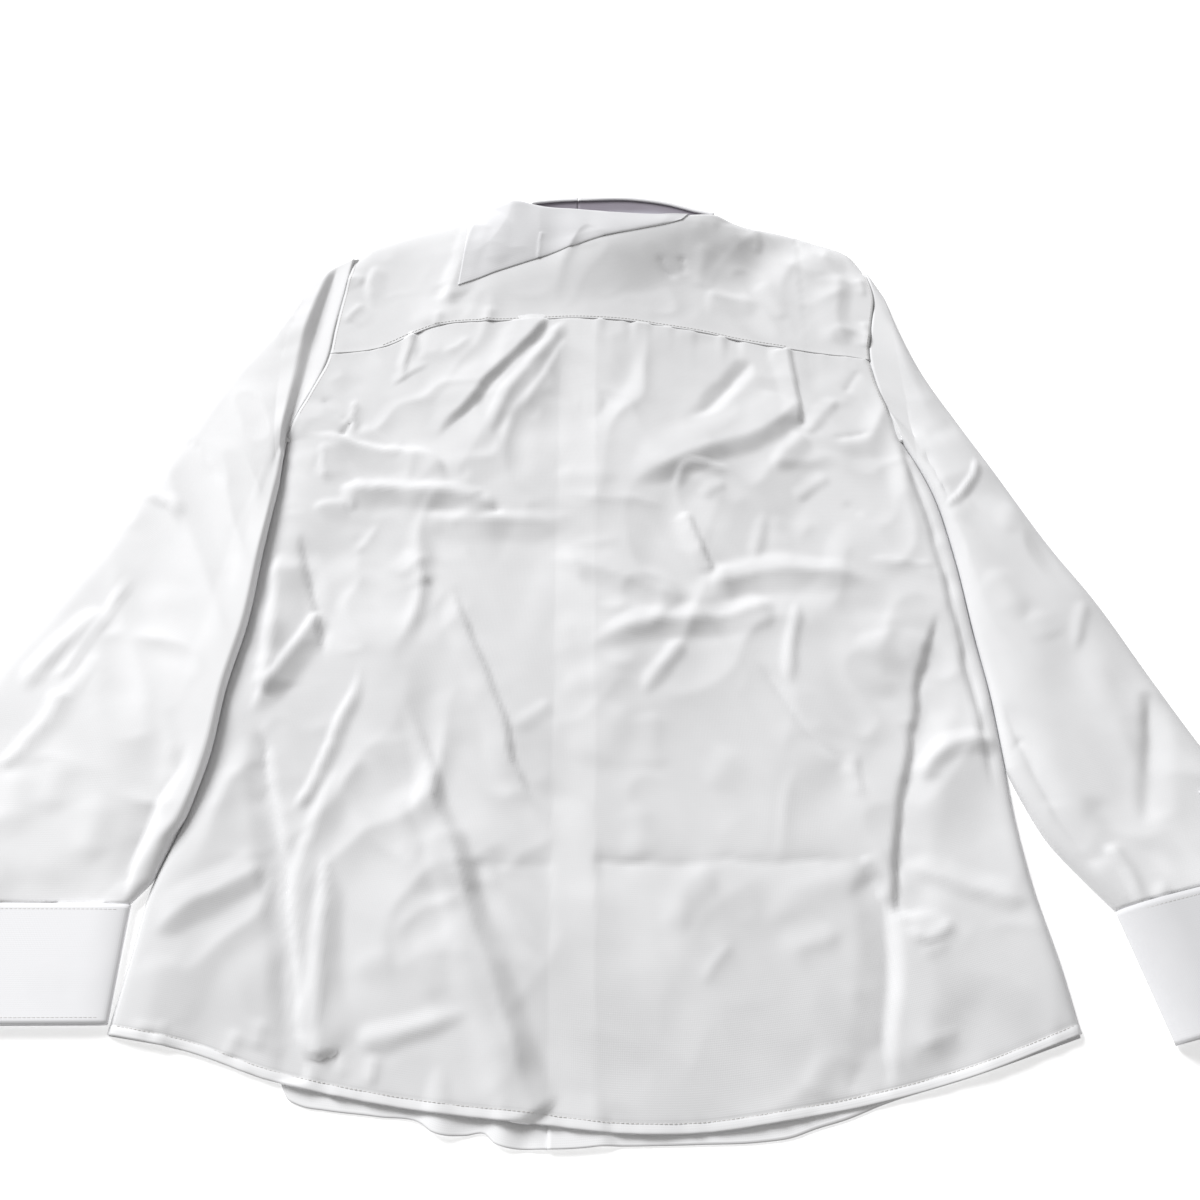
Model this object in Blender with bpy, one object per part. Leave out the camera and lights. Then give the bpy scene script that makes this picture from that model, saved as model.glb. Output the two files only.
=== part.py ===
"""A long sleeve dress shirt, laid out flat on its front with its back up.

Metres, +Z up. +X runs across the shirt towards the wearer's right sleeve and +Y towards the collar. The
fronts lie on z = 0, the back and the yoke lie on them, and the sleeves lie beside the body with their
cuffs towards the hem. Each cut piece is a wall of cloth: a grid of points on its underside or inside,
thickened outwards.
"""

import math
from collections import namedtuple

import bmesh
import bpy
import numpy as np

# Driving dimensions, in metres.
CLOTH = 0.0011              # wall of the shirt's cloth
FUSED = 0.0015              # wall of the interlined cuffs and collar
SEAM = 0.0004               # gap between two sewn pieces
AIR = 0.0004                # least gap between two layers that lie on each other
CENTRE = (0.0046, 0.0005)   # middle of the laid out shirt, which becomes x = y = 0

HEM_Y = -0.330              # hem's height at the side seams
UNDERARM_Y = 0.130
PLACKET_X = -0.0185         # centre line of the front placket
PLACKET_WIDTH = 0.030
PLACKET_TOP_Y = 0.346
STAND_OVERLAP = 0.014       # how far each front runs past the centre line
BUTTON_RADIUS = 0.0057
BUTTON_THICK = 0.0024
BUTTON_COUNT = 7
FIRST_BUTTON_Y = 0.272
BUTTON_SPACING = 0.088
BUTTON_SIDES = 12
PLACKET_LIFT = BUTTON_THICK + AIR
BESIDE = CLOTH + 0.0012     # from the inside of a sleeve's edge to the body's edge beside it
BACK_PUFF = 0.0050          # air under the back away from its edges
NECK_HEIGHT = 0.0205        # underside of the yoke at the back neckline
ROLL = 0.0022               # rise of the rounded edge of a flattened tube
HOLLOW = 0.0007             # least space inside a flattened tube
ARMHOLE_HEIGHT = 0.0070     # greatest rise of a sleeve's upper layer at its armhole
CUFF_LAP = 0.016            # how far a cuff's ends overlap
LAP_FLAT = 0.03             # how far past the lap its outer layer stays raised, as a share of the cuff
LAP_EASE = 0.10             # and over what share it comes down
SLEEVE_PLACKET_LENGTH = 0.062
SLEEVE_PLACKET_WIDTH = 0.020
STRIP_CLEAR = 0.0010        # from a sleeve's surface to the strip that lies on it

PLACKET_ROWS = 26
BACK_COLUMNS = 26
BACK_ROWS_SIDE = 19
BACK_ROWS_ARMHOLE = 4
YOKE_ROWS = 8
FRONT_COLUMNS = 13
FRONT_ROWS_ARMHOLE = 7
SLEEVE_ROWS = 22
TUBE_TOP_COLUMNS = 11
TUBE_BASE_COLUMNS = 6

Side = namedtuple("Side", "y left right")
BODY_SIDES = [
    Side(y=-0.330, left=-0.3160, right=0.3088),
    Side(y=-0.290, left=-0.3105, right=0.3035),
    Side(y=-0.235, left=-0.3035, right=0.2935),
    Side(y=-0.190, left=-0.2895, right=0.2890),
    Side(y=-0.145, left=-0.2795, right=0.2875),
    Side(y=-0.090, left=-0.2750, right=0.2850),
    Side(y=-0.040, left=-0.2670, right=0.2800),
    Side(y=0.020, left=-0.2635, right=0.2752),
    Side(y=0.080, left=-0.2592, right=0.2655),
    Side(y=UNDERARM_Y, left=-0.2560, right=0.2475),
]

Hem = namedtuple("Hem", "x back front")
HEMS = [
    Hem(x=-0.316, back=-0.3305, front=-0.3315),
    Hem(x=-0.265, back=-0.3404, front=-0.3410),
    Hem(x=-0.208, back=-0.3582, front=-0.3600),
    Hem(x=-0.158, back=-0.3687, front=-0.3760),
    Hem(x=-0.108, back=-0.3766, front=-0.3845),
    Hem(x=-0.050, back=-0.3825, front=-0.3965),
    Hem(x=0.012, back=-0.3888, front=-0.3970),
    Hem(x=0.060, back=-0.3888, front=-0.3966),
    Hem(x=0.119, back=-0.3812, front=-0.3910),
    Hem(x=0.174, back=-0.3714, front=-0.3735),
    Hem(x=0.235, back=-0.3560, front=-0.3565),
    Hem(x=0.309, back=-0.3300, front=-0.3325),
]

Armhole = namedtuple("Armhole", "x y")
ARMHOLE_LEFT = [
    Armhole(x=-0.2560, y=UNDERARM_Y),
    Armhole(x=-0.2490, y=0.1560),
    Armhole(x=-0.2370, y=0.1880),
    Armhole(x=-0.2305, y=0.2110),
    Armhole(x=-0.2275, y=0.2450),
    Armhole(x=-0.2225, y=0.2900),
    Armhole(x=-0.2185, y=0.3260),
]
ARMHOLE_RIGHT = [
    Armhole(x=0.2475, y=UNDERARM_Y),
    Armhole(x=0.2370, y=0.1640),
    Armhole(x=0.2300, y=0.1976),
    Armhole(x=0.2290, y=0.2200),
    Armhole(x=0.2330, y=0.2450),
    Armhole(x=0.2385, y=0.2800),
    Armhole(x=0.2350, y=0.3090),
]
ARMHOLES = {"left": ARMHOLE_LEFT, "right": ARMHOLE_RIGHT}
YOKE_END = 0.46             # where the yoke's seam meets the armholes, as a share of their length

Plan = namedtuple("Plan", "x y")
YOKE_SEAM = [
    Plan(x=-0.1866, y=0.2247),
    Plan(x=-0.1439, y=0.2459),
    Plan(x=-0.0858, y=0.2509),
    Plan(x=0.0000, y=0.2520),
    Plan(x=0.0853, y=0.2377),
    Plan(x=0.1610, y=0.2230),
]
SHOULDER_LEFT = [Plan(x=-0.2185, y=0.3260), Plan(x=-0.1275, y=0.3650), Plan(x=-0.0790, y=0.3745)]
SHOULDER_RIGHT = [Plan(x=0.1060, y=0.3640), Plan(x=0.1616, y=0.3496), Plan(x=0.2350, y=0.3090)]
BACK_NECK = [
    Plan(x=-0.0790, y=0.3745),
    Plan(x=-0.0480, y=0.3660),
    Plan(x=0.0000, y=0.3580),
    Plan(x=0.0620, y=0.3575),
    Plan(x=0.1060, y=0.3640),
]
FRONT_NECK_LEFT = [Plan(x=-0.0790, y=0.3745), Plan(x=-0.0560, y=0.3620), Plan(x=-0.0045, y=0.3560)]
FRONT_NECK_RIGHT = [Plan(x=-0.0325, y=0.3560), Plan(x=0.0500, y=0.3545), Plan(x=0.1060, y=0.3640)]

# The collar's mouth, once round from the front's middle: its far rim, its near rim and its far rim again.
Rim = namedtuple("Rim", "x y z")
STAND_TOP = [
    Rim(x=-0.0200, y=0.3922, z=0.0105),
    Rim(x=-0.0420, y=0.3900, z=0.0110),
    Rim(x=-0.0600, y=0.3850, z=0.0130),
    Rim(x=-0.0665, y=0.3775, z=0.0170),
    Rim(x=-0.0500, y=0.3655, z=0.0215),
    Rim(x=0.0000, y=0.3590, z=0.0225),
    Rim(x=0.0600, y=0.3588, z=0.0215),
    Rim(x=0.0930, y=0.3615, z=0.0185),
    Rim(x=0.1080, y=0.3670, z=0.0140),
    Rim(x=0.0850, y=0.3780, z=0.0110),
    Rim(x=0.0600, y=0.3872, z=0.0105),
    Rim(x=0.0300, y=0.3925, z=0.0105),
    Rim(x=-0.0188, y=0.3924, z=0.0105),
]
STAND_FOOT = [
    Rim(x=-0.0200, y=0.3600, z=0.0048),
    Rim(x=-0.0420, y=0.3620, z=0.0048),
    Rim(x=-0.0600, y=0.3660, z=0.0050),
    Rim(x=-0.0625, y=0.3640, z=0.0060),
    Rim(x=-0.0480, y=0.3550, z=0.0085),
    Rim(x=0.0000, y=0.3490, z=0.0095),
    Rim(x=0.0600, y=0.3480, z=0.0090),
    Rim(x=0.0900, y=0.3520, z=0.0075),
    Rim(x=0.0990, y=0.3590, z=0.0060),
    Rim(x=0.0820, y=0.3640, z=0.0050),
    Rim(x=0.0600, y=0.3620, z=0.0048),
    Rim(x=0.0300, y=0.3600, z=0.0048),
    Rim(x=-0.0188, y=0.3600, z=0.0048),
]
STAND_COLUMNS = 40
STAND_ROWS = 2
STAND_BUTTON_Y = 0.3775
STAND_BUTTON_Z = 0.0022

# Lower edge of the collar's leaf where it lies on the yoke.
LEAF_EDGE = [
    Plan(x=-0.1240, y=0.2900),
    Plan(x=-0.0790, y=0.3110),
    Plan(x=-0.0190, y=0.3300),
    Plan(x=0.0310, y=0.3410),
    Plan(x=0.0730, y=0.3530),
]
LEAF_FOLD = [
    Plan(x=-0.1150, y=0.3680),
    Plan(x=-0.0790, y=0.3758),
    Plan(x=-0.0480, y=0.3675),
    Plan(x=0.0000, y=0.3597),
    Plan(x=0.0620, y=0.3592),
    Plan(x=0.0790, y=0.3605),
]
LEAF_CLEAR = CLOTH + 0.0022  # from the yoke's underside to the leaf's
LEAF_BACK_COLUMNS = 18
LEAF_BACK_ROWS = 4
CREST_LEFT = 0.0010         # rise of the yoke under the leaf's lower edge, at its two ends
CREST_RIGHT = 0.0120

# Fold of the collar's leaf round the far rim, and how far its underside runs back under the fronts.
LEAF_DEPTH = 0.046
LEAF_POINT = 0.030          # extra depth at the two points
LEAF_COLUMNS = 10
LEAF_PART = 0.0010           # from the centre line to each half's front end

Fold = namedtuple("Fold", "x0 y0 x1 y1 width height")
BACK_FOLDS = [
    Fold(x0=-0.140, y0=-0.095, x1=-0.067, y1=-0.281, width=0.014, height=0.0050),
    Fold(x0=-0.067, y0=-0.281, x1=-0.033, y1=-0.375, width=0.015, height=0.0070),
    Fold(x0=-0.107, y0=-0.018, x1=-0.064, y1=-0.143, width=0.015, height=0.0040),
    Fold(x0=-0.246, y0=-0.100, x1=-0.200, y1=-0.345, width=0.016, height=0.0055),
    Fold(x0=-0.172, y0=-0.078, x1=-0.196, y1=-0.220, width=0.016, height=0.0040),
    Fold(x0=0.250, y0=-0.045, x1=0.208, y1=-0.190, width=0.016, height=0.0050),
    Fold(x0=0.208, y0=-0.190, x1=0.176, y1=-0.365, width=0.018, height=0.0060),
    Fold(x0=0.110, y0=-0.060, x1=0.190, y1=-0.185, width=0.018, height=0.0035),
    Fold(x0=0.038, y0=-0.008, x1=0.232, y1=-0.020, width=0.016, height=0.0050),
    Fold(x0=-0.122, y0=0.043, x1=0.038, y1=-0.008, width=0.016, height=0.0035),
    Fold(x0=-0.244, y0=0.066, x1=-0.100, y1=0.058, width=0.015, height=0.0035),
    Fold(x0=-0.240, y0=0.132, x1=-0.120, y1=0.090, width=0.015, height=0.0045),
    Fold(x0=0.000, y0=0.094, x1=0.136, y1=0.160, width=0.017, height=0.0060),
    Fold(x0=-0.128, y0=0.130, x1=-0.062, y1=0.236, width=0.014, height=0.0040),
    Fold(x0=-0.162, y0=0.150, x1=-0.164, y1=0.232, width=0.012, height=0.0045),
    Fold(x0=0.165, y0=0.130, x1=0.160, y1=0.222, width=0.012, height=0.0045),
    Fold(x0=0.204, y0=0.236, x1=0.208, y1=0.312, width=0.014, height=0.0050),
    Fold(x0=0.090, y0=0.272, x1=0.092, y1=0.318, width=0.014, height=0.0035),
    Fold(x0=-0.132, y0=0.272, x1=-0.114, y1=0.352, width=0.011, height=0.0060),
    Fold(x0=0.020, y0=0.268, x1=0.060, y1=0.252, width=0.014, height=0.0030),
]
FRONT_FOLDS = [
    Fold(x0=-0.102, y0=-0.300, x1=-0.100, y1=-0.400, width=0.012, height=0.0040),
    Fold(x0=-0.062, y0=-0.320, x1=-0.060, y1=-0.400, width=0.010, height=0.0030),
]
SLEEVE_FOLDS = [
    Fold(x0=-0.338, y0=0.132, x1=-0.293, y1=0.078, width=0.012, height=0.0040),
    Fold(x0=-0.362, y0=0.078, x1=-0.326, y1=0.022, width=0.013, height=0.0045),
    Fold(x0=-0.356, y0=0.000, x1=-0.398, y1=-0.100, width=0.015, height=0.0045),
    Fold(x0=-0.404, y0=-0.120, x1=-0.396, y1=-0.235, width=0.014, height=0.0040),
    Fold(x0=-0.300, y0=-0.060, x1=-0.330, y1=-0.170, width=0.014, height=0.0035),
    Fold(x0=0.266, y0=0.110, x1=0.300, y1=0.030, width=0.013, height=0.0045),
    Fold(x0=0.330, y0=-0.020, x1=0.352, y1=-0.110, width=0.015, height=0.0050),
    Fold(x0=0.370, y0=-0.120, x1=0.376, y1=-0.235, width=0.012, height=0.0050),
    Fold(x0=0.412, y0=-0.150, x1=0.408, y1=-0.235, width=0.012, height=0.0040),
]

# A flattened tube, a row for each ring from the cuff to the armhole: the ends of its left and right
# edges, how high its upper layer stands, over what width each edge rolls down to the floor, and how far
# the ring bows away from the body.
Ring = namedtuple("Ring", "left_x left_y right_x right_y height left_roll right_roll bow")
SLEEVE_LEFT = [
    Ring(-0.4500, -0.2472, -0.3175, -0.2476, 0.0040, 0.016, 0.030, 0.000),
    Ring(-0.4600, -0.2250, -0.2990, -0.2240, 0.0060, 0.016, 0.022, 0.000),
    Ring(-0.4680, -0.1850, -0.2860, -0.1880, 0.0075, 0.017, 0.020, 0.000),
    Ring(-0.4640, -0.1200, -0.2785, -0.1420, 0.0085, 0.020, 0.018, 0.000),
    Ring(-0.4454, -0.0648, -0.2770, -0.1050, 0.0085, 0.024, 0.018, 0.000),
    Ring(-0.4159, -0.0145, -0.2715, -0.0700, 0.0085, 0.024, 0.018, 0.000),
    Ring(-0.3951, 0.0268, -0.2665, -0.0420, 0.0085, 0.024, 0.018, 0.000),
    Ring(-0.3710, 0.0746, -0.2645, -0.0100, 0.0090, 0.024, 0.018, 0.000),
    Ring(-0.3413, 0.1375, -0.2625, 0.0250, 0.0090, 0.024, 0.018, 0.002),
    Ring(-0.3121, 0.1971, -0.2615, 0.0500, 0.0085, 0.024, 0.018, 0.005),
    Ring(-0.2740, 0.2511, -0.2608, 0.0720, 0.0070, 0.024, 0.020, 0.014),
    Ring(-0.2470, 0.3080, -0.2618, 0.0980, 0.0050, 0.028, 0.024, 0.014),
]
SLEEVE_RIGHT = [
    Ring(0.3468, -0.2517, 0.4546, -0.2257, 0.0170, 0.030, 0.017, 0.000),
    Ring(0.3270, -0.2280, 0.4560, -0.2020, 0.0150, 0.032, 0.017, 0.000),
    Ring(0.3105, -0.2062, 0.4500, -0.1760, 0.0125, 0.032, 0.018, 0.000),
    Ring(0.2960, -0.1740, 0.4300, -0.1394, 0.0110, 0.030, 0.021, 0.000),
    Ring(0.2845, -0.1330, 0.4047, -0.0850, 0.0100, 0.040, 0.024, 0.000),
    Ring(0.2760, -0.0850, 0.3743, -0.0171, 0.0095, 0.042, 0.024, 0.000),
    Ring(0.2720, -0.0450, 0.3500, 0.0268, 0.0095, 0.042, 0.024, 0.000),
    Ring(0.2670, 0.0080, 0.3130, 0.1060, 0.0090, 0.040, 0.024, 0.000),
    Ring(0.2625, 0.0420, 0.2930, 0.1480, 0.0085, 0.036, 0.022, 0.000),
    Ring(0.2570, 0.0750, 0.2690, 0.2020, 0.0070, 0.030, 0.020, 0.000),
    Ring(0.2530, 0.0920, 0.2570, 0.2420, 0.0055, 0.026, 0.018, 0.000),
    Ring(0.2500, 0.1090, 0.2480, 0.2820, 0.0040, 0.026, 0.018, 0.000),
]
CUFF_LEFT = [
    Ring(-0.4495, -0.3250, -0.3182, -0.3245, 0.0028, 0.016, 0.030, 0.000),
    Ring(-0.4498, -0.2485, -0.3170, -0.2492, 0.0032, 0.016, 0.030, 0.000),
]
CUFF_RIGHT = [
    Ring(0.3690, -0.3370, 0.4755, -0.3110, 0.0190, 0.030, 0.017, 0.000),
    Ring(0.3475, -0.2526, 0.4550, -0.2266, 0.0168, 0.030, 0.017, 0.000),
]
CUFF_ROWS = 5
CUFF_SPLIT = 0.16           # where the cuff's ends overlap, as a share of its width from the outer edge

Finish = namedtuple("Finish", "colour roughness")
POPLIN = Finish(colour=(0.86, 0.87, 0.90, 1.0), roughness=0.85)
FUSED_POPLIN = Finish(colour=(0.89, 0.90, 0.92, 1.0), roughness=0.80)
PEARL = Finish(colour=(0.90, 0.90, 0.88, 1.0), roughness=0.30)


def material(name, finish):
    """A Principled material with one colour and roughness."""
    made = bpy.data.materials.get(name) or bpy.data.materials.new(name)
    made.use_nodes = True
    shader = made.node_tree.nodes["Principled BSDF"]
    shader.inputs["Base Color"].default_value = finish.colour
    shader.inputs["Roughness"].default_value = finish.roughness
    shader.inputs["Metallic"].default_value = 0.0
    return made


def smooth_curve(points, places):
    """Points of a cubic curve through the given points, at places from 0 to 1 along its chords."""
    knots = np.asarray(points, dtype=float)
    steps = np.linalg.norm(np.diff(knots, axis=0), axis=1)
    reach = np.concatenate(([0.0], np.cumsum(steps))) / steps.sum()
    slopes = np.gradient(knots, reach, axis=0)
    spots = np.clip(np.asarray(places, dtype=float), 0.0, 1.0)
    first = np.clip(np.searchsorted(reach, spots, side="right") - 1, 0, len(knots) - 2)
    width = (reach[first + 1] - reach[first])[:, None]
    u = (spots - reach[first])[:, None] / width
    return (
        (2 * u**3 - 3 * u**2 + 1) * knots[first]
        + (u**3 - 2 * u**2 + u) * width * slopes[first]
        + (3 * u**2 - 2 * u**3) * knots[first + 1]
        + (u**3 - u**2) * width * slopes[first + 1]
    )


def even(count):
    """Places from 0 to 1 in equal steps."""
    return np.linspace(0.0, 1.0, count + 1)


def step_up(value):
    """A smooth step from 0 to 1 as the value goes from 0 to 1."""
    held = np.clip(value, 0.0, 1.0)
    return held * held * (3.0 - 2.0 * held)


def round_up(value):
    """A rounded rise from 0 to 1, steep at first, as the value goes from 0 to 1."""
    held = np.clip(value, 0.0, 1.0)
    return np.sqrt(1.0 - (1.0 - held) ** 2)


def column(rows, name):
    """One named column of a table as an array."""
    return np.array([getattr(row, name) for row in rows])


def side_line(side):
    """Closely spaced points of the body's left or right edge, from the hem to the underarm."""
    return smooth_curve([(getattr(row, side), row.y) for row in BODY_SIDES], even(240))


SIDE_LINES = {side: side_line(side) for side in ("left", "right")}


def body_edge(y, side):
    """The x of the body's left or right edge at y."""
    line = SIDE_LINES[side]
    return np.interp(y, line[:, 1], line[:, 0])


def fold_rise(x, y, folds):
    """Sum of the rounded ridges of a table of folds."""
    rise = np.zeros_like(x)
    for fold in folds:
        run_x = fold.x1 - fold.x0
        run_y = fold.y1 - fold.y0
        along = ((x - fold.x0) * run_x + (y - fold.y0) * run_y) / (run_x**2 + run_y**2)
        along = np.clip(along, 0.0, 1.0)
        away = np.hypot(x - fold.x0 - along * run_x, y - fold.y0 - along * run_y)
        rise += fold.height * np.exp(-((away / fold.width) ** 2))
    return rise


def front_under(x, y):
    """Underside of the fronts: on the floor, lifted over the buttons, the placket and the collar."""
    last_button = FIRST_BUTTON_Y - (BUTTON_COUNT - 1) * BUTTON_SPACING
    beside = np.abs(x - PLACKET_X) - PLACKET_WIDTH / 2
    over_buttons = step_up(1.0 - beside / 0.030) * step_up((y - last_button + 0.075) / 0.050)
    over_placket = (CLOTH + AIR) * step_up(1.0 - (beside - 0.003) / 0.012)
    over_leaf = step_up((y - 0.300) / 0.015) * step_up((0.125 - x) / 0.020) * step_up((x + 0.105) / 0.020)
    lift = np.maximum(PLACKET_LIFT * over_buttons + over_placket, (FUSED + 2 * AIR) * over_leaf)
    return lift + fold_rise(x, y, FRONT_FOLDS)


def fronts_top(x, y):
    """Top of the fronts, with the right front over the left one along the placket."""
    beside = np.abs(x - PLACKET_X) - STAND_OVERLAP
    second = (CLOTH + AIR) * step_up(1.0 - beside / 0.020)
    return front_under(x, y) + CLOTH + second


def shoulder_y(x):
    """The y of the shoulder and neck outline at x."""
    outline = SHOULDER_LEFT + BACK_NECK[1:-1] + SHOULDER_RIGHT
    return np.interp(x, column(outline, "x"), column(outline, "y"))


def leaf_edge_y(x):
    """The y of the leaf's lower edge at x."""
    return np.interp(x, column(LEAF_EDGE, "x"), column(LEAF_EDGE, "y"))


def neck_rise(x, y):
    """How far the yoke stands up towards the back neckline, with a bend under the leaf's lower edge."""
    edge = leaf_edge_y(x)
    crest = CREST_LEFT + (CREST_RIGHT - CREST_LEFT) * step_up((x + 0.124) / 0.197)
    below = crest * step_up((y - edge + 0.065) / 0.065)
    above = (NECK_HEIGHT - BACK_PUFF - crest) * np.clip((y - edge) / (shoulder_y(x) - edge), 0.0, 1.0)
    across = step_up((x + 0.150) / 0.060) * step_up((0.165 - x) / 0.090)
    return (below + above) * across


def back_under(x, y):
    """Underside of the back and the yoke, which lie on the fronts and stand away from them in folds."""
    out = np.clip((y - UNDERARM_Y) / 0.030, 0.0, None) * 0.040
    to_side = np.minimum(x - body_edge(y, "left"), body_edge(y, "right") - x) + out
    to_shoulder = shoulder_y(x) - y
    at_neck = step_up((x + 0.115) / 0.040) * step_up((0.130 - x) / 0.030)
    puff = round_up(to_side / 0.030) * np.maximum(round_up(to_shoulder / 0.035), at_neck)
    hem = 0.55 + 0.45 * step_up((y + 0.390) / 0.080)
    rise = BACK_PUFF * hem + fold_rise(x, y, BACK_FOLDS)
    return fronts_top(x, y) + AIR + puff * rise + neck_rise(x, y)


def coons(bottom, top, left, right, places=None):
    """Plan points of a panel between its four edges, as rows from the bottom to the top."""
    across = (even(len(bottom) - 1) if places is None else places)[None, :, None]
    up = even(len(left) - 1)[:, None, None]
    ruled = (1 - up) * bottom[None] + up * top[None] + (1 - across) * left[:, None] + across * right[:, None]
    corners = (1 - up) * ((1 - across) * bottom[0] + across * bottom[-1])
    corners = corners + up * ((1 - across) * top[0] + across * top[-1])
    return ruled - corners


def with_height(plan, under):
    """Add the height of a surface to plan points."""
    return np.dstack((plan, under(plan[..., 0], plan[..., 1])))


def wall(name, grid, thickness, finish, closed=False):
    """A wall of cloth: a grid of points thickened on its outer side.

    The grid's rows run towards +Y and its columns towards +X on an upper side. A closed grid joins its
    last column to its first.
    """
    rows, columns = grid.shape[:2]
    if closed:
        grid = np.concatenate((grid, grid[:, :1]), axis=1)
    mesh = bpy.data.meshes.new(name)
    shape = bmesh.new()
    bmesh.ops.create_grid(shape, x_segments=grid.shape[1] - 1, y_segments=rows - 1, size=0.5)
    shape.verts.ensure_lookup_table()
    for vertex, point in zip(shape.verts, grid.reshape(-1, 3)):
        vertex.co = (point[0] - CENTRE[0], point[1] - CENTRE[1], point[2])
    if closed:
        bmesh.ops.remove_doubles(shape, verts=shape.verts[:], dist=0.00001)
    shape.to_mesh(mesh)
    shape.free()
    mesh.materials.append(material(name + "_cloth", finish))
    mesh.shade_smooth()
    made = bpy.data.objects.new(name, mesh)
    bpy.context.scene.collection.objects.link(made)
    thicken = made.modifiers.new("Cloth", "SOLIDIFY")
    thicken.thickness = thickness
    thicken.offset = 1.0
    thicken.use_even_offset = False
    return made


def armhole_part(rows, start, end, count, gap):
    """Part of an armhole's curve, moved sideways by a gap."""
    points = smooth_curve([(row.x, row.y) for row in rows], start + (end - start) * even(count))
    points[:, 0] += gap
    return points


def side_part(side, count):
    """The body's side edge from the hem to the underarm."""
    ys = HEM_Y + (UNDERARM_Y - HEM_Y) * even(count)
    return np.column_stack((body_edge(ys, side), ys))


def hem_part(side, start_x, end_x, places):
    """The back's or front's hem between two places across."""
    xs = start_x + (end_x - start_x) * places
    points = smooth_curve([(row.x, getattr(row, side)) for row in HEMS], np.linspace(0, 1, 200))
    return np.column_stack((xs, np.interp(xs, points[:, 0], points[:, 1])))


def make_back():
    """The back, from the hem to the yoke's seam."""
    left = np.vstack((side_part("left", BACK_ROWS_SIDE),
                      armhole_part(ARMHOLE_LEFT, 0.0, YOKE_END, BACK_ROWS_ARMHOLE, 0.0)[1:]))
    right = np.vstack((side_part("right", BACK_ROWS_SIDE),
                       armhole_part(ARMHOLE_RIGHT, 0.0, YOKE_END, BACK_ROWS_ARMHOLE, 0.0)[1:]))
    seam = [tuple(left[-1])] + [(p.x, p.y - SEAM) for p in YOKE_SEAM] + [tuple(right[-1])]
    top = smooth_curve(seam, even(BACK_COLUMNS))
    bottom = hem_part("back", left[0, 0], right[0, 0], even(BACK_COLUMNS))
    left[0] = bottom[0]
    right[0] = bottom[-1]
    return wall("back", with_height(coons(bottom, top, left, right), back_under), CLOTH, POPLIN)


def make_yoke():
    """The yoke, from its seam with the back to the shoulders and the back neckline."""
    left = armhole_part(ARMHOLE_LEFT, YOKE_END, 1.0, YOKE_ROWS, 0.0)
    right = armhole_part(ARMHOLE_RIGHT, YOKE_END, 1.0, YOKE_ROWS, 0.0)
    left[0, 1] += SEAM
    right[0, 1] += SEAM
    seam = [tuple(left[0])] + [(p.x, p.y + SEAM) for p in YOKE_SEAM] + [tuple(right[0])]
    bottom = smooth_curve(seam, even(BACK_COLUMNS))
    shoulder_columns = BACK_COLUMNS // 3
    neck_columns = BACK_COLUMNS - 2 * shoulder_columns
    top = np.vstack((
        smooth_curve(SHOULDER_LEFT, even(shoulder_columns)),
        smooth_curve(BACK_NECK, even(neck_columns))[1:],
        smooth_curve(SHOULDER_RIGHT, even(shoulder_columns))[1:],
    ))
    left[-1] = top[0]
    right[-1] = top[-1]
    return wall("yoke", with_height(coons(bottom, top, left, right), back_under), CLOTH, POPLIN)


def front_places(side, outer_x):
    """Places across a front's hem, from its left to its right edge, close together at the placket."""
    if side == "left":
        stops = [PLACKET_X - reach for reach in (0.052, 0.034, 0.0195, 0.002)] + [PLACKET_X + STAND_OVERLAP]
        xs = np.concatenate((np.linspace(outer_x, stops[0], FRONT_COLUMNS - 3), stops[1:]))
    else:
        stops = [PLACKET_X - STAND_OVERLAP] + [PLACKET_X + reach for reach in (0.002, 0.0195, 0.034, 0.052)]
        xs = np.concatenate((stops[:-1], np.linspace(stops[-1], outer_x, FRONT_COLUMNS - 3)))
    return (xs - xs[0]) / (xs[-1] - xs[0])


def make_front(side):
    """One front, from the hem to the shoulder and neckline, with its inner edge past the centre line."""
    outer = np.vstack((side_part(side, BACK_ROWS_SIDE),
                       armhole_part(ARMHOLES[side], 0.0, 1.0, FRONT_ROWS_ARMHOLE, 0.0)[1:]))
    places = front_places(side, outer[0, 0])
    ups = even(len(outer) - 1)[:, None]
    if side == "left":
        bottom = hem_part("front", outer[0, 0], PLACKET_X + STAND_OVERLAP, places)
        top = top_edge(SHOULDER_LEFT, FRONT_NECK_LEFT, places)
        outer[0], outer[-1] = bottom[0], top[0]
        inner = bottom[-1] + ups * (top[-1] - bottom[-1])
        plan = coons(bottom, top, outer, inner, places)
    else:
        bottom = hem_part("front", PLACKET_X - STAND_OVERLAP, outer[0, 0], places)
        top = top_edge(FRONT_NECK_RIGHT, SHOULDER_RIGHT, places)
        outer[0], outer[-1] = bottom[-1], top[-1]
        inner = bottom[0] + ups * (top[0] - bottom[0])
        plan = coons(bottom, top, inner, outer, places)
    grid = with_height(plan, front_under)
    if side == "right":
        over_left = step_up(1.0 - (grid[..., 0] - PLACKET_X - STAND_OVERLAP - 0.005) / 0.016)
        grid[..., 2] += (CLOTH + AIR) * over_left
    return wall("front_" + side, grid, CLOTH, POPLIN)


def top_edge(first, second, places):
    """A panel's top edge along two curves that meet at a corner, with a point on the corner."""
    start, corner, end = first[0].x, first[-1].x, second[-1].x
    share = (corner - start) / (end - start)
    turn = int(np.argmin(np.abs(places - share)))
    along_first = places[: turn + 1] / places[turn]
    along_second = (places[turn:] - places[turn]) / (1.0 - places[turn])
    return np.vstack((smooth_curve(first, along_first), smooth_curve(second, along_second)[1:]))


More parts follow.
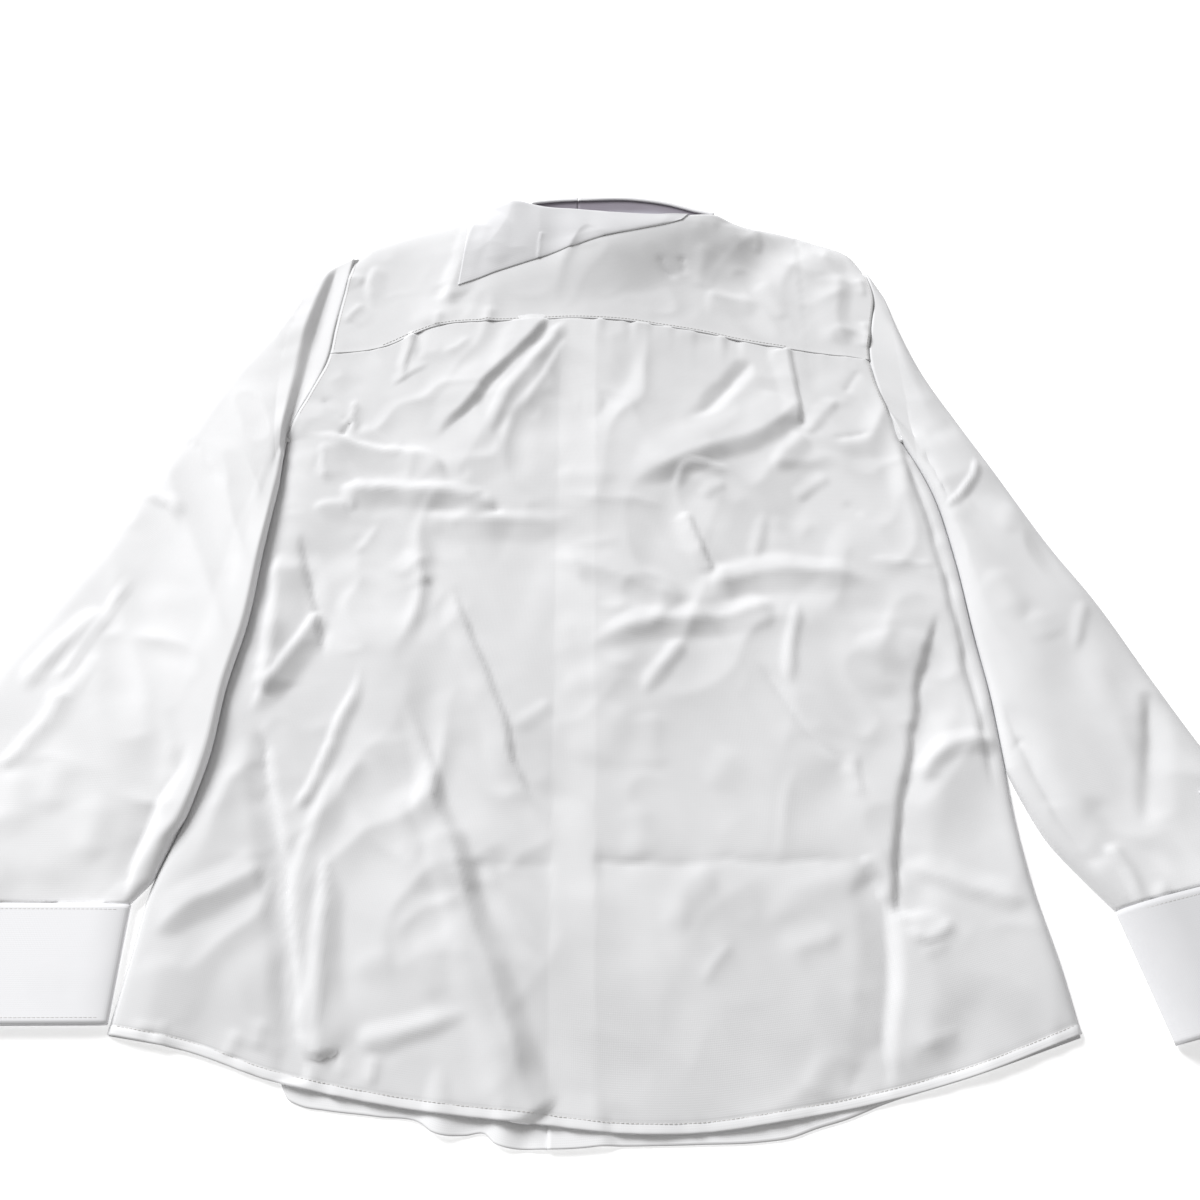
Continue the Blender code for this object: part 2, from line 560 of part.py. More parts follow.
def make_placket():
    """The box placket, under the left front's edge and over the buttons."""
    xs = PLACKET_X + PLACKET_WIDTH * (even(4) - 0.5)
    low = hem_part("front", xs[0], xs[-1], even(4))[:, 1] + SEAM
    rows = [np.column_stack((xs, low + place * (PLACKET_TOP_Y - low))) for place in even(PLACKET_ROWS)]
    grid = with_height(np.array(rows), front_under)
    grid[..., 2] -= CLOTH + AIR
    return wall("placket", grid, CLOTH, POPLIN)


def tube_ring(ring, places, layer, floor):
    """Points across one layer of a flattened tube."""
    left = np.array((ring[0], ring[1]))
    right = np.array((ring[2], ring[3]))
    width = np.linalg.norm(right - left)
    across = (right - left) / width
    outward = np.array((across[1], -across[0]))
    plan = left + places[:, None] * (right - left) + ring[7] * np.sin(math.pi * places)[:, None] * outward
    to_left = places * width
    to_right = (1.0 - places) * width
    edge = 1.0 - round_up(to_left / 0.008) * round_up(to_right / 0.008)
    if layer == "upper":
        rise = ring[4] * round_up(to_left / ring[5]) * round_up(to_right / ring[6])
        height = floor + ROLL + HOLLOW + rise
    else:
        height = floor + ROLL * edge
    return np.column_stack((plan, height))


def crowded(count):
    """Places from 0 to 1 that lie closer together towards both ends."""
    return 0.5 - 0.5 * np.cos(math.pi * even(count))


def tube_grid(rings, floor, folds=()):
    """A flattened tube's inside: across its upper layer towards +X, and back across its lower layer."""
    grid = []
    for ring in rings:
        upper = tube_ring(ring, crowded(TUBE_TOP_COLUMNS), "upper", floor)
        inset = np.minimum(crowded(TUBE_TOP_COLUMNS), 1.0 - crowded(TUBE_TOP_COLUMNS))
        upper[:, 2] += fold_rise(upper[:, 0], upper[:, 1], folds) * step_up(inset / 0.2)
        lower = tube_ring(ring, 1.0 - crowded(TUBE_BASE_COLUMNS), "lower", floor)
        grid.append(np.vstack((upper, lower)))
    return np.array(grid)


def sleeve_rings(table, side):
    """A sleeve's rings from its cuff to just short of its armhole, kept clear of the body beside them."""
    rings = smooth_curve(table, even(SLEEVE_ROWS - 1))
    if side == "left":
        rings[:, 2] = np.minimum(rings[:, 2], body_edge(rings[:, 3], "left") - BESIDE)
    else:
        rings[:, 0] = np.maximum(rings[:, 0], body_edge(rings[:, 1], "right") + BESIDE)
    return rings


def make_sleeve(side):
    """A sleeve: a flattened tube whose last rings turn to follow the armhole."""
    table = SLEEVE_LEFT if side == "left" else SLEEVE_RIGHT
    grid = tube_grid(sleeve_rings(table, side), CLOTH, SLEEVE_FOLDS)
    spots = np.concatenate((crowded(TUBE_TOP_COLUMNS), 1.0 - crowded(TUBE_BASE_COLUMNS)))
    along = 1.0 - spots if side == "left" else spots
    seam = smooth_curve([(row.x, row.y) for row in ARMHOLES[side]], along)
    seam[:, 0] += -BESIDE if side == "left" else BESIDE
    ring = tube_grid(sleeve_rings(table, side)[-1:], CLOTH, SLEEVE_FOLDS)[0]
    ring[:, :2] = seam
    ring[:, 2] = np.minimum(ring[:, 2], ARMHOLE_HEIGHT)
    grid = np.concatenate((grid, ring[None]))
    return wall("sleeve_" + side, grid, CLOTH, POPLIN, closed=True)


def lapped_ring(ring, split, lap):
    """A cuff's ring: once round from its raised upper end to its other end, which lies under the first."""
    width = math.hypot(ring[2] - ring[0], ring[3] - ring[1])
    start = split - 0.5 * lap / width
    stop = split + 0.5 * lap / width
    run = even(TUBE_TOP_COLUMNS // 2 + 1)
    over = start + (1.0 - start) * crowded(TUBE_TOP_COLUMNS // 2 + 1)
    first = tube_ring(ring, over, "upper", FUSED)
    first[:, 2] += (FUSED + 2 * AIR) * step_up(1.0 - (over - stop - LAP_FLAT) / LAP_EASE)
    lower = tube_ring(ring, 1.0 - crowded(TUBE_BASE_COLUMNS), "lower", FUSED)
    second = tube_ring(ring, stop * run**1.5, "upper", FUSED)
    return np.vstack((first, lower, second))


def make_cuff(side):
    """A cuff: a band round the sleeve's end with its ends lapped on the upper side, and its button."""
    table = CUFF_LEFT if side == "left" else CUFF_RIGHT
    split = CUFF_SPLIT if side == "left" else 1.0 - CUFF_SPLIT
    rings = smooth_curve(table, even(CUFF_ROWS))
    grid = np.array([lapped_ring(ring, split, CUFF_LAP) for ring in rings])
    wall("cuff_" + side, grid, FUSED, FUSED_POPLIN)
    seat = tube_ring(smooth_curve(table, [0.5])[0], np.array([split]), "upper", FUSED)[0]
    seat[2] += 2 * FUSED + 3 * AIR
    make_button("button_cuff_" + side, seat, face_up=True)


def make_sleeve_placket(side):
    """The strip on a sleeve's slit, from the cuff to its pointed end, and its button."""
    split = CUFF_SPLIT if side == "left" else 1.0 - CUFF_SPLIT
    rings = sleeve_rings(SLEEVE_LEFT if side == "left" else SLEEVE_RIGHT, side)
    start = rings[0]
    grid = []
    for ring in rings:
        middle = tube_ring(ring, np.array([split]), "upper", CLOTH)[0]
        away = math.hypot(middle[0] - start[0] - split * (start[2] - start[0]),
                          middle[1] - start[1] - split * (start[3] - start[1]))
        if away > SLEEVE_PLACKET_LENGTH:
            break
        width = math.hypot(ring[2] - ring[0], ring[3] - ring[1])
        places = split + SLEEVE_PLACKET_WIDTH / width * (even(2) - 0.5)
        upper = tube_grid([ring], CLOTH, SLEEVE_FOLDS)[0][:TUBE_TOP_COLUMNS + 1]
        row = np.column_stack([np.interp(places, crowded(TUBE_TOP_COLUMNS), line) for line in upper.T])
        row[:, 2] += CLOTH + STRIP_CLEAR
        grid.append(row)
    step = grid[-1][1] - grid[-2][1]
    grid.append(grid[-1] + step * np.array((0.25, 0.60, 0.25))[:, None])
    wall("sleeve_placket_" + side, np.array(grid), CLOTH, POPLIN)
    seat = grid[len(grid) // 2][1] + np.array((0.0, 0.0, CLOTH + 3 * AIR))
    make_button("button_sleeve_" + side, seat, face_up=True)


def make_stand():
    """The collar's stand: a band once round the neck, its ends meeting at the front's middle."""
    top = smooth_curve([tuple(row) for row in STAND_TOP], even(STAND_COLUMNS))
    foot = smooth_curve([tuple(row) for row in STAND_FOOT], even(STAND_COLUMNS))
    grid = np.array([foot + place * (top - foot) for place in even(STAND_ROWS)])
    return wall("collar_stand", grid, FUSED, FUSED_POPLIN)


def make_leaf_back():
    """The collar's leaf where it lies on the yoke, from its lower edge to the fold over the stand."""
    bottom = smooth_curve([tuple(row) for row in LEAF_EDGE], even(LEAF_BACK_COLUMNS))
    top = smooth_curve([tuple(row) for row in LEAF_FOLD], even(LEAF_BACK_COLUMNS))
    rows = even(LEAF_BACK_ROWS)[:, None]
    left = bottom[0] + rows * (top[0] - bottom[0])
    right = bottom[-1] + rows * (top[-1] - bottom[-1])
    grid = with_height(coons(bottom, top, left, right), back_under)
    grid[..., 2] += LEAF_CLEAR
    return wall("collar_leaf_back", grid, FUSED, FUSED_POPLIN)


def make_leaf_front(side):
    """Half of the collar's leaf at the front: folded over the stand, and under the front to its point."""
    far_rim = smooth_curve([tuple(row) for row in STAND_TOP], even(STAND_COLUMNS * 4))
    if side == "left":
        rim = far_rim[: np.argmin(far_rim[:, 0])]
        rim = rim[(rim[:, 0] < PLACKET_X - LEAF_PART) & (rim[:, 1] > 0.383)]
    else:
        rim = far_rim[np.argmax(far_rim[:, 0]):]
        rim = rim[(rim[:, 0] > PLACKET_X + LEAF_PART) & (rim[:, 1] > 0.371)]
    picks = np.linspace(0, len(rim) - 1, LEAF_COLUMNS + 1).round().astype(int)
    rim = rim[picks]
    to_middle = np.abs(rim[:, 0] - PLACKET_X)
    depth = np.interp(to_middle, (0.0, 0.034, 0.048, 0.130), (0.010, LEAF_DEPTH + LEAF_POINT, 0.060, LEAF_DEPTH))
    grid = []
    for back in (1.0, 0.66, 0.33, 0.08):
        grid.append(np.column_stack((rim[:, 0], rim[:, 1] + 0.0015 - back * depth, np.full(len(rim), FUSED))))
    for out, rise in ((0.0030, 0.22), (0.0040, 0.60), (0.0028, 1.0)):
        height = FUSED + rise * (rim[:, 2] + 0.0005 - FUSED)
        grid.append(np.column_stack((rim[:, 0], rim[:, 1] + out, height)))
    return wall("collar_leaf_front_" + side, np.array(grid), FUSED, FUSED_POPLIN)


def make_button(name, seat, face_up):
    """A round button with a rim, its back on the seat when its face is up, else its face on the seat."""
    profile = (
        (0.0, BUTTON_THICK - 0.0006),
        (0.60 * BUTTON_RADIUS, BUTTON_THICK - 0.0006),
        (0.86 * BUTTON_RADIUS, BUTTON_THICK),
        (BUTTON_RADIUS, BUTTON_THICK - 0.0008),
        (0.90 * BUTTON_RADIUS, 0.0),
        (0.0, 0.0),
    )
    shape = bmesh.new()
    rings = []
    for radius, height in profile:
        z = height if face_up else BUTTON_THICK - height
        rings.append(shape.verts.new((radius, 0.0, z)))
    edges = [shape.edges.new(pair) for pair in zip(rings, rings[1:])]
    bmesh.ops.spin(shape, geom=rings + edges, cent=(0, 0, 0), axis=(0, 0, 1), angle=2 * math.pi,
                   steps=BUTTON_SIDES, use_merge=True)
    bmesh.ops.remove_doubles(shape, verts=shape.verts[:], dist=0.00001)
    bmesh.ops.recalc_face_normals(shape, faces=shape.faces[:])
    bmesh.ops.translate(shape, verts=shape.verts[:], vec=(seat[0] - CENTRE[0], seat[1] - CENTRE[1], seat[2]))
    mesh = bpy.data.meshes.new(name)
    shape.to_mesh(mesh)
    shape.free()
    mesh.materials.append(material("button_pearl", PEARL))
    made = bpy.data.objects.new(name, mesh)
    bpy.context.scene.collection.objects.link(made)
    return made


def make_front_buttons():
    """The row of buttons under the placket, on the floor, and the button under the stand's ends."""
    for number in range(BUTTON_COUNT):
        y = FIRST_BUTTON_Y - number * BUTTON_SPACING
        make_button(f"button_front_{number + 1}", (PLACKET_X, y, 0.0), face_up=False)
    make_button("button_collar", (PLACKET_X, STAND_BUTTON_Y, STAND_BUTTON_Z), face_up=False)


def remove_everything():
    """Empty the scene."""
    for old in list(bpy.data.objects):
        bpy.data.objects.remove(old, do_unlink=True)


def main():
    remove_everything()
    make_back()
    make_yoke()
    make_front("left")
    make_front("right")
    make_placket()
    for side in ("left", "right"):
        make_sleeve(side)
        make_sleeve_placket(side)
        make_cuff(side)
        make_leaf_front(side)
    make_stand()
    make_leaf_back()
    make_front_buttons()


main()
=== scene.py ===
"""Looks of a long sleeve dress shirt that is laid out flat on its front, with its back up.

Metres, +Z up. +X runs across the shirt towards the wearer's right sleeve and +Y towards the collar. The
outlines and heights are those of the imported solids; folds, hems, stitches and buttons are worked into them
here. Tables are in millimetres and in the layout's own coordinates, and each mesh is moved by Layout.centre
as it is made.
"""

from __future__ import annotations

import logging
import math
from dataclasses import dataclass
from enum import Enum
from typing import Callable

import bmesh
import bpy
import numpy as np
from mathutils import Matrix, Vector

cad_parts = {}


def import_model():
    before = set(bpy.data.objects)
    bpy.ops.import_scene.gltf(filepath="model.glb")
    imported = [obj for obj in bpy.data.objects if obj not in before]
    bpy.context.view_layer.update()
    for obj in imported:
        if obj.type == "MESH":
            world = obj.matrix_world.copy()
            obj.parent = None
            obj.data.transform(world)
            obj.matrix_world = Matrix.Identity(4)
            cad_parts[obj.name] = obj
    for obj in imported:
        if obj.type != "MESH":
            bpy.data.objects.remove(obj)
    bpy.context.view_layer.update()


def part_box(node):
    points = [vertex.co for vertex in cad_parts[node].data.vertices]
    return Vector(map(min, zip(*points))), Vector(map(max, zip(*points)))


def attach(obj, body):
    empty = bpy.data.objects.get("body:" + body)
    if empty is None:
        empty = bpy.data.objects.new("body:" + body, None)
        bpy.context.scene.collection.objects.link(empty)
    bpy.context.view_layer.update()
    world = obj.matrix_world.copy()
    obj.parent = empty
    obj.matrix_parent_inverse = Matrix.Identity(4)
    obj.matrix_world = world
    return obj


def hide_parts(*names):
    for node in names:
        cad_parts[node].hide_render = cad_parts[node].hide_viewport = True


LOG = logging.getLogger("shirt")
ON_CLOTH = 0.36  # how much lighter cloth shows where it lies on one more layer
Array = np.ndarray
Point = tuple[float, float]
Sockets = tuple[tuple[str, float | tuple[float, ...]], ...]


class Side(Enum):
    """The shirt's two sides, as they lie."""

    LEFT = "left"
    RIGHT = "right"


class Profile(Enum):
    """The section of a crease: rounded, sharp with hollow sides, or sharp with flat sides."""

    SOFT = "soft"
    CRISP = "crisp"
    FACET = "facet"


SOFT, CRISP, FACET = Profile.SOFT, Profile.CRISP, Profile.FACET


# ---------------------------------------------------------------------------------------------------
# Curves and small functions


def smooth_curve(points: Array | tuple, places: Array | list) -> Array:
    """Points of a cubic curve through the given points.

    Args:
        points: rows of coordinates that the curve passes through
        places: where to take the curve, from 0 to 1 along its chords

    Returns:
        A row of coordinates for each place.
    """
    knots = np.asarray(points, dtype=float)
    steps = np.linalg.norm(np.diff(knots, axis=0), axis=1)
    reach = np.concatenate(([0.0], np.cumsum(steps))) / steps.sum()
    slopes = np.gradient(knots, reach, axis=0)
    spots = np.clip(np.asarray(places, dtype=float), 0.0, 1.0)
    first = np.clip(np.searchsorted(reach, spots, side="right") - 1, 0, len(knots) - 2)
    width = (reach[first + 1] - reach[first])[:, None]
    u = (spots - reach[first])[:, None] / width
    return (
        (2 * u**3 - 3 * u**2 + 1) * knots[first]
        + (u**3 - 2 * u**2 + u) * width * slopes[first]
        + (3 * u**2 - 2 * u**3) * knots[first + 1]
        + (u**3 - u**2) * width * slopes[first + 1]
    )


def even(count: int) -> Array:
    """Places from 0 to 1 in equal steps."""
    return np.linspace(0.0, 1.0, count + 1)


def crowded(count: int) -> Array:
    """Places from 0 to 1 that lie closer together towards both ends."""
    return 0.5 - 0.5 * np.cos(math.pi * even(count))


def step_up(value: Array | float) -> Array:
    """A smooth step from 0 to 1 as the value goes from 0 to 1."""
    held = np.clip(value, 0.0, 1.0)
    return held * held * (3.0 - 2.0 * held)


def round_up(value: Array | float) -> Array:
    """A rounded rise from 0 to 1, steep at first, as the value goes from 0 to 1."""
    held = np.clip(value, 0.0, 1.0)
    return np.sqrt(1.0 - (1.0 - held) ** 2)


def bump(value: Array | float) -> Array:
    """A rounded bump, 1 at 0 and nearly 0 beyond 2."""
    return np.exp(-np.square(value))


def uneven(x: Array, y: Array, cell: Point, turn: float, seed: int) -> Array:
    """Smooth random heights from -1 to 1.

    Args:
        x: where to take them, across
        y: where to take them, along
        cell: the size of a swell across and along, in metres
        turn: how far the swells are turned, in degrees
        seed: the seed of the random heights

    Returns:
        The height at each point.
    """
    angle = math.radians(turn)
    across = (x * math.cos(angle) + y * math.sin(angle)) / cell[0] + 500.0
    along = (y * math.cos(angle) - x * math.sin(angle)) / cell[1] + 500.0
    heights = np.random.RandomState(seed).uniform(-1.0, 1.0, (256, 256))
    column = np.floor(across).astype(int)
    row = np.floor(along).astype(int)
    u = step_up(across - column)
    v = step_up(along - row)
    low = heights[row % 256, column % 256] * (1 - u) + heights[row % 256, (column + 1) % 256] * u
    high = heights[(row + 1) % 256, column % 256] * (1 - u) + heights[(row + 1) % 256, (column + 1) % 256] * u
    return low * (1 - v) + high * v


def crumpled(x: Array, y: Array, cell: Point, turn: float, seed: int) -> Array:
    """Random heights, up to 1, with sharp crests between smooth hollows, as in creased cloth.

    Args:
        x: where to take them, across
        y: where to take them, along
        cell: the size of a hollow across and along, in metres
        turn: how far the hollows are turned, in degrees
        seed: the seed of the random heights

    Returns:
        The height at each point.
    """
    drift = 0.35 * uneven(x, y, (0.8 * cell[0], 0.8 * cell[1]), turn + 40.0, seed + 50)
    ripples = uneven(x + cell[0] * drift, y - cell[1] * drift, cell, turn, seed)
    return 1.0 - 3.0 * np.abs(ripples)


def mm(*points: tuple[float, ...]) -> tuple[tuple[float, ...], ...]:
    """Points that are given in millimetres, in metres."""
    return tuple(tuple(round(value / 1000, 7) for value in point) for point in points)


def linear(hex_colour: str) -> tuple[float, float, float, float]:
    """An sRGB hex colour such as #F0F0F2 as linear red, green, blue and 1."""
    values = [int(hex_colour[place : place + 2], 16) / 255 for place in (1, 3, 5)]
    return tuple(v / 12.92 if v <= 0.04045 else ((v + 0.055) / 1.055) ** 2.4 for v in values) + (1.0,)


# ---------------------------------------------------------------------------------------------------
# Creases


@dataclass(frozen=True)
class Crease:
    """A fold in the cloth along a line: a ridge, or a trough where its height is negative.

    left and right are how far it reaches to either side of the line, as seen along the line, and fade is
    the share of its length over which each end dies away. Its reach grows or shrinks along the line from
    the first to the second share in spread.
    """

    points: tuple[Point, ...]
    height: float
    left: float
    right: float
    profile: Profile
    fade: Point
    spread: Point

    def rise(self, x: Array, y: Array) -> Array:
        """How far the crease lifts each point.

        Args:
            x: the points' x
            y: the points' y

        Returns:
            The lift at each point, in metres.
        """
        total = np.zeros_like(x)
        line = smooth_curve(self.points, even(4 * (len(self.points) - 1)))
        reach = {SOFT: 2.4, CRISP: 5.0, FACET: 1.3}[self.profile]
        reach = reach * max(self.left, self.right) * max(self.spread)
        low, high = line.min(axis=0) - reach, line.max(axis=0) + reach
        near = (x > low[0]) & (x < high[0]) & (y > low[1]) & (y < high[1])
        if near.any():
            total[near] = self.section(x[near], y[near], line)
        return total

    def section(self, x: Array, y: Array, line: Array) -> Array:
        """The lift of points near the line, from their distance to it and their place along it.

        Args:
            x: the points' x
            y: the points' y
            line: points along the crease's line

        Returns:
            The lift at each point, in metres.
        """
        nearest = np.full(x.shape, np.inf)
        hand = np.zeros_like(x)
        along = np.zeros_like(x)
        for number, (start, end) in enumerate(zip(line, line[1:])):
            run = end - start
            share = np.clip(((x - start[0]) * run[0] + (y - start[1]) * run[1]) / run.dot(run), 0.0, 1.0)
            out_x = x - start[0] - share * run[0]
            out_y = y - start[1] - share * run[1]
            away = np.hypot(out_x, out_y)
            closer = away < nearest
            nearest = np.where(closer, away, nearest)
            hand = np.where(closer, run[0] * out_y - run[1] * out_x, hand)
            along = np.where(closer, (number + share) / (len(line) - 1), along)
        ends = step_up(along / max(self.fade[0], 1e-6)) * step_up((1.0 - along) / max(self.fade[1], 1e-6))
        reach = (self.spread[0] + (self.spread[1] - self.spread[0]) * along) * (0.45 + 0.55 * ends)
        away = nearest / (reach * np.where(hand > 0.0, self.left, self.right))
        if self.profile is SOFT:
            shape = bump(away)
        elif self.profile is CRISP:
            shape = np.exp(-away)
        else:
            shape = np.clip(1.0 - away, 0.0, 1.0)
            shape = np.where(away > 0.8, np.square(np.clip(1.2 - away, 0.0, None)) / 0.8, shape)
        return self.height * shape * ends


def crease(points: tuple[Point, ...], height: float, left: float, right: float, profile: Profile = SOFT,
           fade: Point = (0.3, 0.3), spread: Point = (1.0, 1.0)) -> Crease:
    """A crease from sizes in millimetres.

    Args:
        points: the line's points
        height: how high it stands, or how deep it is where negative
        left: its reach to the left of the line
        right: its reach to the right of the line
        profile: its section
        fade: the share of its length over which each end dies away
        spread: how its reach grows from its first to its last point

    Returns:
        The crease, in metres.
    """
    return Crease(mm(*points), *mm((height, left, right))[0], profile, fade, spread)


def lift_of(creases: tuple[Crease, ...], x: Array, y: Array) -> Array:
    """The summed lift of several creases, their lines and edges a little uneven.

    Args:
        creases: the creases
        x: the points' x
        y: the points' y

    Returns:
        The lift at each point, in metres.
    """
    wander = 0.0020 * uneven(x, y, (0.028, 0.024), 15.0, 61) + 0.0008 * uneven(x, y, (0.010, 0.012), 50.0, 62)
    sway = 0.0020 * uneven(x, y, (0.024, 0.028), 65.0, 63) + 0.0008 * uneven(x, y, (0.012, 0.010), 10.0, 64)
    total = np.zeros_like(x)
    for fold in creases:
        total += fold.rise(x + wander, y + sway)
    return total * (1.0 + 0.25 * uneven(x, y, (0.022, 0.022), 30.0, 65))


